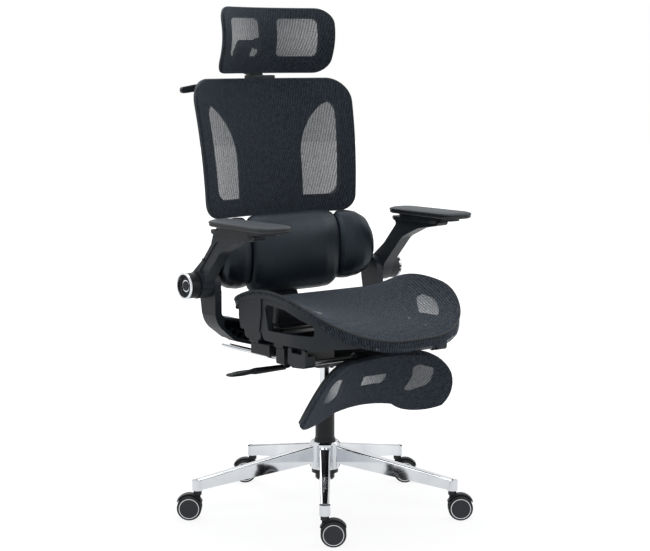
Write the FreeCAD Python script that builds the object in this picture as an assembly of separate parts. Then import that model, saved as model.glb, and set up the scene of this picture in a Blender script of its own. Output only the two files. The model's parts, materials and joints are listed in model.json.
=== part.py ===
import FreeCAD, Part
import math
import os

# Reclining mesh office chair with a pull-out footrest, all sizes in millimetres.
# The origin is on the floor under the gas lift and +Z is up.
# The sitter faces -Y, and the sitter's right hand is on the -X side.

V = FreeCAD.Vector
PARTS = "parts"
os.makedirs(PARTS, exist_ok=True)

# Star base
ARM_COUNT = 5
FIRST_ARM_ANGLE = -128.0
BASE_RADIUS = 340.0
SOCKET_RADIUS = 13.0
SOCKET_AT = BASE_RADIUS - SOCKET_RADIUS
SOCKET_BOTTOM = 72.0
TIP_TOP = 97.0
ROOT_TOP = 162.0
HUB_RADIUS = 38.0
HUB_BOTTOM = 104.0
HUB_TOP = 173.0

# Casters
WHEEL_RADIUS = 30.0
WHEEL_INNER = 5.0
WHEEL_OUTER = 21.3
TRIM_OUTER_RADIUS = 24.6
TRIM_INNER_RADIUS = 23.0
CASTER_TRAIL = 20.0
CASTER_STEM_RADIUS = 5.5
AXLE_RADIUS = 4.0
CASTER_HEADINGS = (-38.0, -38.0, -38.0, 142.0, 142.0)
RUNNING_GAP = 0.05

# Gas lift
TUBE_RADIUS = 24.0
TUBE_BOTTOM = 76.0
TUBE_TOP = 268.0
STEM_RADIUS = 14.0
STEM_BOTTOM = 165.0
STEM_TOP = 396.0

# Tilt mechanism
MECH_BOTTOM = 371.0
MECH_TOP = 430.0
MECH_HALF_WIDTH = 65.0
PLATE_TOP = 434.0
RECLINE_Y = 104.0
RECLINE_Z = 436.0
RECLINE_SHAFT_RADIUS = 8.0
BARREL_RADIUS = 17.0
LEVER_Y = 0.0
LEVER_Z = 388.0
LEVER_ROD_RADIUS = 4.0
LEVER_PIVOT_X = -76.0
GRIP_Z = 373.0

# Seat: rows of distance along Y, height at the middle, height of the wing edge
SEAT_HALF_WIDTH = 238.0
SEAT_FRONT = -345.0
SEAT_REAR = 85.0
SEAT_FRONT_CORNER = 190.0
SEAT_REAR_CORNER = 60.0
SEAT_BAND = 34.0
SEAT_RIM_DEPTH = 20.0
SEAT_MESH = 3.0
SEAT_ROWS = (
    (105.0, 533.0, 526.0),
    (35.0, 527.0, 553.0),
    (-40.0, 518.0, 574.0),
    (-125.0, 511.0, 574.0),
    (-205.0, 505.0, 558.0),
    (-280.0, 495.0, 526.0),
    (-355.0, 468.0, 488.0),
)
WING_AT = 235.0
RAIL_BOTTOM = 458.0

# Footrest
ROD_RADIUS = 6.5
ROD_X = 203.0
ROD_Z = 417.0
ROD_REAR = 148.0
CROSSBAR_Y = -190.0
FOOT_ORIGIN = V(0.0, -228.0, 414.0)
FOOT_LEAN = 119.2
FOOT_SHEET = 2.5
FOOT_FRAME_DEPTH = 13.0

# Back
BACK_TOP = 1066.0
BACK_BOTTOM = 725.0
BACK_TOP_HALF = 244.0
BACK_BOTTOM_HALF = 228.0
BACK_WRAP = 50.0
BACK_WRAP_AT = 240.0
BACK_FRAME_DEPTH = 16.0
BACK_SHEET = 2.5
PANEL_DEPTH = 8.0

# Armrests
ARM_PIVOT_Y = 127.0
ARM_PIVOT_Z = 575.0
ARM_BARREL_RADIUS = 33.0
ARM_SHAFT_RADIUS = 12.0
CRADLE_ARM_INNER = 245.0
CRADLE_ARM_OUTER = 264.0
POST_INNER = 265.5
POST_OUTER = 298.0
CAP_OUTER = 331.0
PAD_X = 279.0
PAD_Y = -71.0
PAD_LENGTH = 262.0
PAD_WIDTH = 92.0
PAD_BOTTOM = 725.0
PAD_TOP = 741.0
FLANGE_TOP = 716.5

# Headrest
HEAD_TOP = 1243.0
HEAD_BOTTOM = 1081.0
HEAD_HALF = 172.0
HEAD_WRAP = 45.0
HEAD_WRAP_AT = 157.0
HEAD_FRAME_DEPTH = 14.0
HEAD_SHEET = 2.5
HEAD_PIVOT_Y = 259.0
HEAD_PIVOT_Z = 1154.0

PLANES = {
    "xy": lambda u, v, at: V(u, v, at),
    "xz": lambda u, v, at: V(u, at, v),
    "yz": lambda u, v, at: V(at, u, v),
}
NORMALS = {"xy": V(0, 0, 1), "xz": V(0, 1, 0), "yz": V(1, 0, 0)}


def save(name, *solids):
    """Write one node, a single solid or a group of separate solids."""
    shape = solids[0] if len(solids) == 1 else Part.makeCompound(list(solids))
    shape.exportStep(os.path.join(PARTS, name + ".step"))


def box(x0, x1, y0, y1, z0, z1):
    return Part.makeBox(x1 - x0, y1 - y0, z1 - z0, V(x0, y0, z0))


def rod(start, end, radius):
    """Round bar from one point to another."""
    along = end - start
    return Part.makeCylinder(radius, along.Length, start, along)


def mirrored(shape):
    """The same piece on the other side of the chair's middle plane."""
    return shape.mirror(V(0, 0, 0), V(1, 0, 0))


def outline(corners, plane, at=0.0):
    """Closed wire through corners (u, v, radius), each rounded by an arc of its radius."""
    place = PLANES[plane]
    spans = []
    for i, (u, v, radius) in enumerate(corners):
        before = corners[i - 1]
        after = corners[(i + 1) % len(corners)]
        back = V(before[0] - u, before[1] - v, 0).normalize()
        ahead = V(after[0] - u, after[1] - v, 0).normalize()
        if radius <= 0:
            spans.append((V(u, v, 0), None, V(u, v, 0)))
            continue
        half = back.getAngle(ahead) / 2.0
        cut = radius / math.tan(half)
        bisector = (back + ahead).normalize()
        middle = V(u, v, 0) + bisector * (radius / math.sin(half) - radius)
        spans.append((V(u, v, 0) + back * cut, middle, V(u, v, 0) + ahead * cut))
    edges = []
    for i, (start, middle, end) in enumerate(spans):
        following = spans[(i + 1) % len(spans)][0]
        side = V(corners[(i + 1) % len(corners)][0] - corners[i][0],
                 corners[(i + 1) % len(corners)][1] - corners[i][1], 0)
        if (following - end).dot(side) < -1e-6:
            raise ValueError("the radii are too large after corner %s of %s" % (i, corners[i]))
        a, b = place(start.x, start.y, at), place(end.x, end.y, at)
        if middle is not None:
            edges.append(Part.Arc(a, place(middle.x, middle.y, at), b).toShape())
        c = place(following.x, following.y, at)
        if b.distanceToPoint(c) > 1e-6:
            edges.append(Part.LineSegment(b, c).toShape())
    return Part.Wire(edges)


def prism(corners, plane, start, end):
    """Rounded outline drawn in a plane and extruded square to it."""
    face = Part.Face(outline(corners, plane, start))
    return face.extrude(NORMALS[plane] * (end - start))


def arc_prism(arcs, plane, start, end):
    """Outline of arcs, each (first, middle) point with the next arc's first as its end."""
    place = PLANES[plane]
    edges = []
    for i, (first, middle) in enumerate(arcs):
        last = arcs[(i + 1) % len(arcs)][0]
        a = place(first[0], first[1], start)
        c = place(last[0], last[1], start)
        if middle is None:
            edges.append(Part.LineSegment(a, c).toShape())
        else:
            edges.append(Part.Arc(a, place(middle[0], middle[1], start), c).toShape())
    return Part.Face(Part.Wire(edges)).extrude(NORMALS[plane] * (end - start))


def turned(profile, origin, axis):
    """Closed profile wire spun a full turn round an axis."""
    return Part.Face(profile).revolve(origin, axis, 360)


def drum(points, axis="z", origin=V(0, 0, 0)):
    """Spun body from (radius, distance along the axis) corners."""
    if axis == "z":
        corners = [origin + V(r, 0, h) for r, h in points]
        direction = V(0, 0, 1)
    elif axis == "y":
        corners = [origin + V(r, h, 0) for r, h in points]
        direction = V(0, 1, 0)
    else:
        corners = [origin + V(h, r, 0) for r, h in points]
        direction = V(1, 0, 0)
    return turned(Part.makePolygon(corners + [corners[0]]), origin, direction)


def controls(function, low, high):
    """Control values that make a quadratic curve follow a quadratic function exactly."""
    middle = 2.0 * function((low + high) / 2.0) - (function(low) + function(high)) / 2.0
    return function(low), middle, function(high)


def through(points):
    """Quadratic function through three (position, value) pairs."""
    (a, fa), (b, fb), (c, fc) = points

    def value(t):
        return (fa * (t - b) * (t - c) / ((a - b) * (a - c))
                + fb * (t - a) * (t - c) / ((b - a) * (b - c))
                + fc * (t - a) * (t - b) / ((c - a) * (c - b)))
    return value


def curved_slab(across, along, half, low, high, place, push):
    """Slab under a doubly curved face whose height is across(u) + along(v)."""
    surface = Part.BezierSurface()
    surface.increase(2, 2)
    for i, (u, du) in enumerate(zip((-half, 0.0, half), controls(across, -half, half))):
        for j, (v, dv) in enumerate(zip((low, (low + high) / 2.0, high), controls(along, low, high))):
            surface.setPole(i + 1, j + 1, place(u, v, du + dv))
    return surface.toShape().extrude(push)


# Star base and casters


def arm_section(distance, inset=0.0, roof=0.0):
    """Cross-section of a base arm, or of the hollow under it when inset."""
    t = (distance - HUB_RADIUS) / (BASE_RADIUS - HUB_RADIUS)
    top = ROOT_TOP + (TIP_TOP - ROOT_TOP) * t - roof
    height = 42.0 - 16.0 * t
    half = (15.0 - 4.5 * t) - inset
    bottom = top - height + (roof if inset == 0 else roof - 2.0)
    corner = 4.0 if inset == 0 else 0.0
    corners = [(-half, bottom, 0), (half, bottom, 0), (half - 1.0, top, corner), (1.0 - half, top, corner)]
    return outline(corners, "yz", distance)


def base_arm():
    """One hollow arm along +X with ribs inside and the caster socket at its tip."""
    stations = (24.0, 130.0, 235.0, SOCKET_AT)
    arm = Part.makeLoft([arm_section(d) for d in stations], True, True)
    bays = ((52.0, 122.0), (128.0, 205.0), (211.0, 296.0))
    for near, far in bays:
        hollow = Part.makeLoft([arm_section(near, 4.0, 5.0), arm_section(far, 4.0, 5.0)], True)
        arm = arm.cut(hollow)
    socket = Part.makeCylinder(SOCKET_RADIUS, TIP_TOP - SOCKET_BOTTOM, V(SOCKET_AT, 0, SOCKET_BOTTOM))
    arm = arm.fuse(socket)
    bore = Part.makeCylinder(CASTER_STEM_RADIUS + RUNNING_GAP, 22.0, V(SOCKET_AT, 0, SOCKET_BOTTOM))
    return arm.cut(bore)


def star_base():
    hub = drum([(TUBE_RADIUS, HUB_BOTTOM), (HUB_RADIUS - 4.0, HUB_BOTTOM), (HUB_RADIUS, HUB_BOTTOM + 6.0),
                (HUB_RADIUS, HUB_TOP - 5.0), (HUB_RADIUS - 4.0, HUB_TOP), (TUBE_RADIUS, HUB_TOP)])
    flute_offset = HUB_RADIUS + 9.0
    for k in range(ARM_COUNT):
        angle = math.radians(FIRST_ARM_ANGLE + (k + 0.5) * 360.0 / ARM_COUNT)
        centre = V(flute_offset * math.cos(angle), flute_offset * math.sin(angle), HUB_BOTTOM - 1.0)
        hub = hub.cut(Part.makeCylinder(13.0, HUB_TOP - HUB_BOTTOM + 2.0, centre))
    shape = hub
    for k in range(ARM_COUNT):
        arm = base_arm()
        arm.rotate(V(0, 0, 0), V(0, 0, 1), FIRST_ARM_ANGLE + k * 360.0 / ARM_COUNT)
        shape = shape.fuse(arm)
    return shape.cut(Part.makeCylinder(TUBE_RADIUS, 200.0, V(0, 0, 50.0))).removeSplitter()


def hub_collar():
    return drum([(TUBE_RADIUS, HUB_TOP), (27.0, HUB_TOP), (TUBE_RADIUS + 1.0, HUB_TOP + 8.0),
                 (TUBE_RADIUS, HUB_TOP + 8.0)])


def retaining_clip():
    """Washer and clip that hold the lift in the hub from below."""
    ring = drum([(TUBE_RADIUS, 94.0), (33.0, 94.0), (33.0, HUB_BOTTOM), (TUBE_RADIUS, HUB_BOTTOM)])
    return ring.cut(box(26.0, 40.0, -3.0, 3.0, 90.0, 101.0))


def place_caster(shape, k):
    """Turn a caster piece to its heading and move it under its arm's socket."""
    angle = math.radians(FIRST_ARM_ANGLE + k * 360.0 / ARM_COUNT)
    piece = shape.copy()
    piece.rotate(V(0, 0, 0), V(0, 0, 1), CASTER_HEADINGS[k])
    piece.translate(V(SOCKET_AT * math.cos(angle), SOCKET_AT * math.sin(angle), 0))
    return piece


def caster_hood():
    """Fender between the twin wheels, with the stem that swivels in the arm and the axle."""
    axle_start = V(CASTER_TRAIL, -15.0, WHEEL_RADIUS)
    web = Part.makeCylinder(26.0, 8.0, V(CASTER_TRAIL, -4.0, WHEEL_RADIUS), V(0, 1, 0))
    shade = Part.makeCylinder(34.5, 20.0, V(CASTER_TRAIL, -10.0, WHEEL_RADIUS), V(0, 1, 0))
    shade = shade.cut(Part.makeCylinder(31.5, 22.0, V(CASTER_TRAIL, -11.0, WHEEL_RADIUS), V(0, 1, 0)))
    shade = shade.common(box(-12.0, 50.0, -10.0, 10.0, 44.0, 66.0))
    neck = box(-7.0, 30.0, -4.0, 4.0, 40.0, 63.0)
    boss = Part.makeCylinder(10.0, 9.8, V(0, 0, 61.5))
    stem = Part.makeCylinder(CASTER_STEM_RADIUS, 32.0, V(0, 0, 60.0))
    axle = Part.makeCylinder(AXLE_RADIUS, 30.0, axle_start, V(0, 1, 0))
    return web.fuse([shade, neck, boss, stem, axle]).removeSplitter()


def caster_wheel(side):
    """Crowned tyre, raised trim ring and dished disc, bored blind for the axle."""
    centre = V(CASTER_TRAIL, 0, WHEEL_RADIUS)
    bore = AXLE_RADIUS + RUNNING_GAP

    def at(radius, offset):
        return centre + V(radius, side * offset, 0)

    profile = [at(28.0, WHEEL_INNER), at(WHEEL_RADIUS, 8.0), at(WHEEL_RADIUS, 16.0),
               at(TRIM_OUTER_RADIUS, WHEEL_OUTER), at(TRIM_INNER_RADIUS, WHEEL_OUTER),
               at(TRIM_INNER_RADIUS, 19.8), at(0.0, 18.0), at(0.0, 15.5), at(bore, 15.5), at(bore, WHEEL_INNER),
               at(28.0, WHEEL_INNER)]
    return turned(Part.makePolygon(profile), centre, V(0, 1, 0))


# Gas lift and tilt mechanism


def lift_tube():
    bore = STEM_RADIUS + RUNNING_GAP
    return drum([(0, TUBE_BOTTOM), (21.0, TUBE_BOTTOM), (TUBE_RADIUS, TUBE_BOTTOM + 4.0),
                 (TUBE_RADIUS, TUBE_TOP - 3.0), (21.0, TUBE_TOP), (bore, TUBE_TOP),
                 (bore, TUBE_BOTTOM + 5.0), (0, TUBE_BOTTOM + 5.0)])


def lift_stem():
    return drum([(0, STEM_BOTTOM), (12.0, STEM_BOTTOM), (STEM_RADIUS, STEM_BOTTOM + 2.0),
                 (STEM_RADIUS, STEM_TOP - 2.0), (12.5, STEM_TOP), (0, STEM_TOP)])


def mechanism_housing():
    """Deep-drawn housing, round at the recline shaft, with lugs for the lever bush."""
    side = [(-120.0, MECH_TOP, 3.0), (-120.0, 404.0, 10.0), (-92.0, 378.0, 14.0), (-55.0, MECH_BOTTOM, 20.0),
            (38.0, MECH_BOTTOM, 16.0), (90.0, 408.0, 20.0), (RECLINE_Y + BARREL_RADIUS, 424.0, 12.0),
            (RECLINE_Y + BARREL_RADIUS, RECLINE_Z + 10.0, 10.0), (RECLINE_Y - 14.0, RECLINE_Z + 14.0, 10.0),
            (62.0, MECH_TOP, 8.0)]
    body = prism(side, "yz", -MECH_HALF_WIDTH, MECH_HALF_WIDTH)
    flank = prism([(-88.0, 424.0, 6.0), (-82.0, 392.0, 8.0), (-52.0, 381.0, 8.0), (30.0, 381.0, 8.0),
                   (66.0, 404.0, 8.0), (66.0, 424.0, 6.0)], "yz", 0.0, 8.0)
    for x in (-MECH_HALF_WIDTH, MECH_HALF_WIDTH - 8.0):
        pressing = flank.copy()
        pressing.translate(V(x, 0, 0))
        edge = 2.5 if x < 0 else -2.5
        pressing.translate(V(-edge * 2.2, 0, 0))
        body = body.cut(pressing)
    socket = drum([(0, 364.0), (21.0, 364.0), (24.0, MECH_BOTTOM + 2.0), (0, MECH_BOTTOM + 2.0)])
    body = body.fuse(socket)
    body = body.cut(Part.makeCylinder(STEM_RADIUS + RUNNING_GAP, STEM_TOP + 1.0 - 360.0, V(0, 0, 360.0)))
    for y in (-16.0, 10.5):
        lug = prism([(-86.0, 379.0, 4.0), (-86.0, 397.0, 4.0), (-62.0, 397.0, 0), (-62.0, 379.0, 0)],
                    "xz", y, y + 5.5)
        body = body.fuse(lug)
    trunnion = rod(V(LEVER_PIVOT_X, -20.0, LEVER_Z), V(LEVER_PIVOT_X, 20.0, LEVER_Z), 4.0 + RUNNING_GAP)
    pocket = rod(V(-MECH_HALF_WIDTH - 2.0, 0, LEVER_Z), V(-30.0, 0, LEVER_Z), 8.0)
    shaft = rod(V(-80.0, RECLINE_Y, RECLINE_Z), V(80.0, RECLINE_Y, RECLINE_Z), RECLINE_SHAFT_RADIUS)
    knob_hole = Part.makeCylinder(6.0 + RUNNING_GAP, 26.0, V(0, -76.0, 366.0))
    return body.cut(trunnion).cut(pocket).cut(shaft).cut(knob_hole).removeSplitter()


def mounting_plate():
    """Flat plate on the mechanism that the seat's cross beams bolt to."""
    plate = prism([(-112.0, -134.0, 14.0), (112.0, -134.0, 14.0), (112.0, 46.0, 14.0), (-112.0, 46.0, 14.0)],
                  "xy", MECH_TOP, PLATE_TOP)
    slot = prism([(-30.0, -70.0, 10.0), (30.0, -70.0, 10.0), (30.0, -44.0, 10.0), (-30.0, -44.0, 10.0)],
                 "xy", MECH_TOP - 1.0, PLATE_TOP + 1.0)
    for x in (-84.0, 84.0):
        hole = prism([(x - 14.0, -78.0, 10.0), (x + 14.0, -78.0, 10.0), (x + 14.0, -38.0, 10.0),
                      (x - 14.0, -38.0, 10.0)], "xy", MECH_TOP - 1.0, PLATE_TOP + 1.0)
        plate = plate.cut(hole)
    return plate.cut(slot)


def lever_bush():
    """Sleeve with two trunnions: it rocks in the housing's lugs and the rod slides through it."""
    sleeve = prism([(-86.0, 379.5, 5.0), (-86.0, 396.5, 5.0), (-68.0, 396.5, 5.0), (-68.0, 379.5, 5.0)],
                   "xz", -9.5, 9.5)
    pins = rod(V(LEVER_PIVOT_X, -15.5, LEVER_Z), V(LEVER_PIVOT_X, 15.5, LEVER_Z), 4.0)
    bore = rod(V(-100.0, 0, LEVER_Z), V(-50.0, 0, LEVER_Z), LEVER_ROD_RADIUS + RUNNING_GAP)
    return sleeve.fuse(pins).cut(bore)


def lever_rod():
    """Bent wire rod: straight through the bush, then down and out to the grip."""
    path = [V(-58.0, 0, LEVER_Z), V(-98.0, 0, LEVER_Z), V(-112.0, 0, GRIP_Z), V(-138.0, 0, GRIP_Z)]
    bend = 9.0
    edges = []
    last = path[0]
    for i in range(1, len(path) - 1):
        back = (path[i - 1] - path[i]).normalize()
        ahead = (path[i + 1] - path[i]).normalize()
        half = back.getAngle(ahead) / 2.0
        cut = bend / math.tan(half)
        middle = path[i] + (back + ahead).normalize() * (bend / math.sin(half) - bend)
        edges.append(Part.LineSegment(last, path[i] + back * cut).toShape())
        edges.append(Part.Arc(path[i] + back * cut, middle, path[i] + ahead * cut).toShape())
        last = path[i] + ahead * cut
    edges.append(Part.LineSegment(last, path[-1]).toShape())
    section = Part.Wire(Part.makeCircle(LEVER_ROD_RADIUS, path[0], V(1, 0, 0)))
    return Part.Wire(edges).makePipeShell([section], True, True)


def lever_grip():
    """Round grip, thickest in the middle, that flattens into a thumb paddle at its end."""
    handle = drum([(0, -248.0), (3.0, -248.0), (8.2, -212.0), (6.8, -124.0), (0, -124.0)], "x",
                  V(0, 0, GRIP_Z))
    plan = prism([(-220.0, -5.5, 0), (-258.0, -12.5, 20.0), (-293.0, -12.5, 9.0), (-293.0, 12.5, 9.0),
                  (-258.0, 12.5, 20.0), (-220.0, 5.5, 0)], "xy", GRIP_Z - 12.0, GRIP_Z + 12.0)
    wedge = prism([(-219.0, GRIP_Z - 4.6, 0), (-254.0, GRIP_Z - 4.8, 30.0), (-295.0, GRIP_Z - 3.5, 0),
                   (-295.0, GRIP_Z - 0.5, 0), (-254.0, GRIP_Z + 3.6, 30.0), (-219.0, GRIP_Z + 4.6, 0)],
                  "xz", -20.0, 20.0)
    grip = handle.fuse(plan.common(wedge))
    hole = rod(V(-120.0, 0, GRIP_Z), V(-138.0, 0, GRIP_Z), LEVER_ROD_RADIUS)
    return grip.cut(hole).removeSplitter()


def tension_knob():
    """Fluted knob under the front of the mechanism that sets the recline spring."""
    knob = drum([(0, 340.0), (18.0, 340.0), (20.0, 343.0), (20.0, 364.0), (0, 364.0)], "z", V(0, -76.0, 0))
    for i in range(8):
        angle = math.radians(45.0 * i)
        centre = V(23.0 * math.cos(angle), -76.0 + 23.0 * math.sin(angle), 338.0)
        knob = knob.cut(Part.makeCylinder(5.0, 30.0, centre))
    return knob.fuse(Part.makeCylinder(6.0, 27.0, V(0, -76.0, 363.0)))


def cross_beam(front, rear, top):
    """Beam across the mechanism, thinner towards the seat's sides, hollow beneath."""
    beam = prism([(-224.0, 446.0, 3.0), (-224.0, top, 3.0), (224.0, top, 3.0), (224.0, 446.0, 3.0),
                  (176.0, 446.0, 10.0), (118.0, PLATE_TOP, 10.0), (-118.0, PLATE_TOP, 10.0),
                  (-176.0, 446.0, 10.0)], "xz", front, rear)
    for x in (-150.0, -60.0, 60.0, 150.0):
        half = 36.0 if abs(x) < 100 else 16.0
        base = 430.0
        beam = beam.cut(box(x - half, x + half, front + 5.0, rear - 5.0, base, top - 5.0))
    return beam


# Seat


def seat_height(x, row):
    y, middle, wing = row
    return middle + (wing - middle) * (abs(x) / WING_AT) ** 2


def seat_surface(lift=0.0):
    """Doubly curved face of the seat, saddle shaped, falling away at the front."""
    half = 250.0
    stations = (-half, -170.0, -85.0, 0.0, 85.0, 170.0, half)
    grid = [[V(x, row[0], seat_height(x, row) + lift) for x in stations] for row in SEAT_ROWS]
    surface = Part.BSplineSurface()
    surface.interpolate(grid)
    return surface.toShape()


def seat_outline(inset, z0, z1):
    """Plan of the seat, with wide front corners, drawn in by an inset."""
    half = SEAT_HALF_WIDTH - inset
    front = SEAT_FRONT + inset
    rear = SEAT_REAR - inset
    big = SEAT_FRONT_CORNER - inset
    small = max(SEAT_REAR_CORNER - inset, 20.0)
    return prism([(-half, front, big), (half, front, big), (half, rear, small), (-half, rear, small)],
                 "xy", z0, z1)


def seat_frame():
    """Moulded rim, side skirts with their windows, and the two rear blocks, in one moulding."""
    band = seat_outline(0.0, 430.0, 620.0).cut(seat_outline(SEAT_BAND, 420.0, 630.0))
    rim = seat_surface().extrude(V(0, 0, -SEAT_RIM_DEPTH)).common(band)
    skirt = seat_outline(4.0, 440.0, 620.0).cut(seat_outline(14.0, 430.0, 630.0))
    side = [(30.0, 600.0, 0), (30.0, 500.0, 10.0), (22.0, 478.0, 6.0), (-56.0, 478.0, 4.0), (-66.0, 460.0, 8.0),
            (-110.0, RAIL_BOTTOM, 20.0), (-240.0, 456.0, 60.0), (-318.0, 464.0, 4.0), (-318.0, 600.0, 0)]
    skirt = skirt.common(prism(side, "yz", -260.0, 260.0))
    window = [(-68.0, 546.0, 10.0), (-150.0, 541.0, 60.0), (-236.0, 511.0, 8.0), (-236.0, 487.0, 6.0),
              (-84.0, 484.0, 6.0)]
    for start, end in ((-260.0, -150.0), (150.0, 260.0)):
        skirt = skirt.cut(prism(window, "yz", start, end))
    block_side = [(33.0, 600.0, 0), (33.0, 505.0, 12.0), (24.0, 477.0, 5.0), (-50.0, 477.0, 5.0),
                  (-58.0, 520.0, 10.0), (-58.0, 600.0, 0)]
    block = prism(block_side, "yz", 200.0, 237.0)
    block = block.cut(prism([(20.0, 470.0, 0), (20.0, 520.0, 8.0), (-45.0, 520.0, 8.0), (-45.0, 470.0, 0)],
                            "yz", 206.0, 231.0))
    blocks = [block, mirrored(block)]
    inside = seat_outline(1.0, 430.0, 620.0)
    shape = rim.fuse([skirt] + [b.common(inside) for b in blocks])
    return shape.cut(seat_surface().extrude(V(0, 0, 200.0))).removeSplitter()


def seat_mesh():
    """Stretched fabric over the rim."""
    return seat_surface().extrude(V(0, 0, SEAT_MESH)).common(seat_outline(1.5, 430.0, 640.0))


def rear_beam():
    """Rear cross beam with a rounded foot under each of the seat's rear blocks."""
    side = [(20.0, 477.0, 0), (-46.0, 477.0, 0), (-50.0, 455.0, 12.0), (16.0, 455.0, 14.0)]
    foot = prism(side, "yz", 207.0, 230.0)
    return cross_beam(-28.0, 8.0, 459.0).fuse([foot, mirrored(foot)]).removeSplitter()


def guide_rear():
    """Saddle over the footrest rod with a lip on the inner side."""
    block = prism([(188.0, 408.0, 2.0), (197.0, 408.0, 2.0), (197.0, ROD_Z, 0), (218.0, ROD_Z, 2.0),
                   (218.0, 446.0, 3.0), (188.0, 446.0, 3.0)], "xz", -66.0, 9.0)
    return block.cut(rod(V(ROD_X, -80.0, ROD_Z), V(ROD_X, 20.0, ROD_Z), ROD_RADIUS + RUNNING_GAP))


def guide_middle():
    """Closed guide that keeps the rod when the footrest is drawn out."""
    block = prism([(187.0, 405.0, 6.0), (219.0, 405.0, 6.0), (219.0, 446.0, 2.0), (187.0, 446.0, 2.0)],
                  "xz", -126.0, -94.0)
    return block.cut(rod(V(ROD_X, -140.0, ROD_Z), V(ROD_X, -80.0, ROD_Z), ROD_RADIUS + RUNNING_GAP))


# Footrest


def footrest_corner():
    """Corner block that joins a side rod to the crossbar."""
    side = [(-207.0, 409.0, 8.0), (-207.0, 451.0, 4.0), (-140.0, 451.0, 4.0), (-140.0, 414.0, 4.0),
            (-158.0, 405.0, 10.0)]
    block = prism(side, "yz", 190.0, 219.0)
    block = block.cut(prism([(-194.0, 440.0, 3.0), (-194.0, 456.0, 0), (-154.0, 456.0, 0), (-154.0, 440.0, 3.0)],
                            "yz", 204.0, 225.0))
    block = block.cut(box(180.0, 211.5, -215.0, -178.0, 436.5, 460.0))
    collar = rod(V(184.0, CROSSBAR_Y, ROD_Z), V(192.0, CROSSBAR_Y, ROD_Z), 10.5)
    block = block.fuse(collar)
    block = block.cut(rod(V(ROD_X, -178.0, ROD_Z), V(ROD_X, -130.0, ROD_Z), ROD_RADIUS))
    return block.cut(rod(V(180.0, CROSSBAR_Y, ROD_Z), V(196.0, CROSSBAR_Y, ROD_Z), ROD_RADIUS))


def footrest_rods():
    """The two side rods, chamfered at their free rear ends."""
    length = ROD_REAR + 178.0
    bar = drum([(0, 0), (ROD_RADIUS, 0), (ROD_RADIUS, length - 2.0), (ROD_RADIUS - 2.0, length), (0, length)],
               "y", V(ROD_X, -178.0, ROD_Z))
    return [bar, mirrored(bar)]


def footrest_crossbar():
    return rod(V(-196.0, CROSSBAR_Y, ROD_Z), V(196.0, CROSSBAR_Y, ROD_Z), ROD_RADIUS)


def foot_place(shape):
    """Turn a piece drawn flat, front face up, to hang stowed under the seat."""
    piece = shape.copy()
    piece.rotate(V(0, 0, 0), V(1, 0, 0), FOOT_LEAN)
    piece.translate(FOOT_ORIGIN)
    return piece


def foot_slab(lift, thickness):
    """Dished slab of the pad, its two ends turning up round the calves."""
    wing = 38.0
    middle = -40.0

    def across(x):
        return wing * abs(x / 205.0) ** 3

    def along(y):
        return lift - 14.0 * ((y - middle) / 125.0) ** 2
    return curved_slab(across, along, 245.0, -190.0, 35.0, lambda u, v, h: V(u, v, h), V(0, 0, -thickness))


def foot_outline(inset, z0, z1):
    """Plan of the pad: nearly straight top, hollow bottom edge and wide drooping ends."""
    arcs = [((-88.0, 1.0 - inset), (0.0, 2.0 - inset)),
            ((88.0, 1.0 - inset), (172.0 - inset * 0.5, -14.0 - inset * 0.9)),
            ((200.0 - inset * 0.8, -42.0 - inset * 0.5), (219.0 - inset, -98.0)),
            ((217.0 - inset * 0.9, -146.0 + inset * 0.5), (184.0 - inset * 0.3, -170.0 + inset)),
            ((92.0, -157.0 + inset), (0.0, -151.0 + inset)),
            ((-92.0, -157.0 + inset), (inset * 0.3 - 184.0, -170.0 + inset)),
            ((inset * 0.9 - 217.0, -146.0 + inset * 0.5), (inset - 219.0, -98.0)),
            ((inset * 0.8 - 200.0, -42.0 - inset * 0.5), (inset * 0.5 - 172.0, -14.0 - inset * 0.9))]
    return arc_prism(arcs, "xy", z0, z1)


def footrest_frame():
    """Dished pad frame with three windows behind the mesh and a slot in each end."""
    frame = foot_slab(0.0, FOOT_FRAME_DEPTH).common(foot_outline(0.0, -60.0, 80.0))
    middle = [(-44.0, -36.0, 10.0), (44.0, -36.0, 10.0), (40.0, -92.0, 10.0), (-40.0, -92.0, 10.0)]
    side = [(92.0, -22.0, 14.0), (164.0, -34.0, 26.0), (170.0, -92.0, 26.0), (122.0, -124.0, 20.0),
            (100.0, -104.0, 14.0), (106.0, -60.0, 20.0)]
    for corners in (middle, side, [(-x, y, r) for x, y, r in reversed(side)]):
        frame = frame.cut(prism(corners, "xy", -60.0, 80.0))
    rim = foot_slab(-FOOT_FRAME_DEPTH + 1.0, 8.0).common(
        foot_outline(2.0, -60.0, 80.0).cut(foot_outline(12.0, -70.0, 90.0)))
    return frame.fuse(rim).removeSplitter()


def footrest_mesh():
    return foot_slab(FOOT_SHEET, FOOT_SHEET).common(foot_outline(1.5, -60.0, 80.0))


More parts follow.
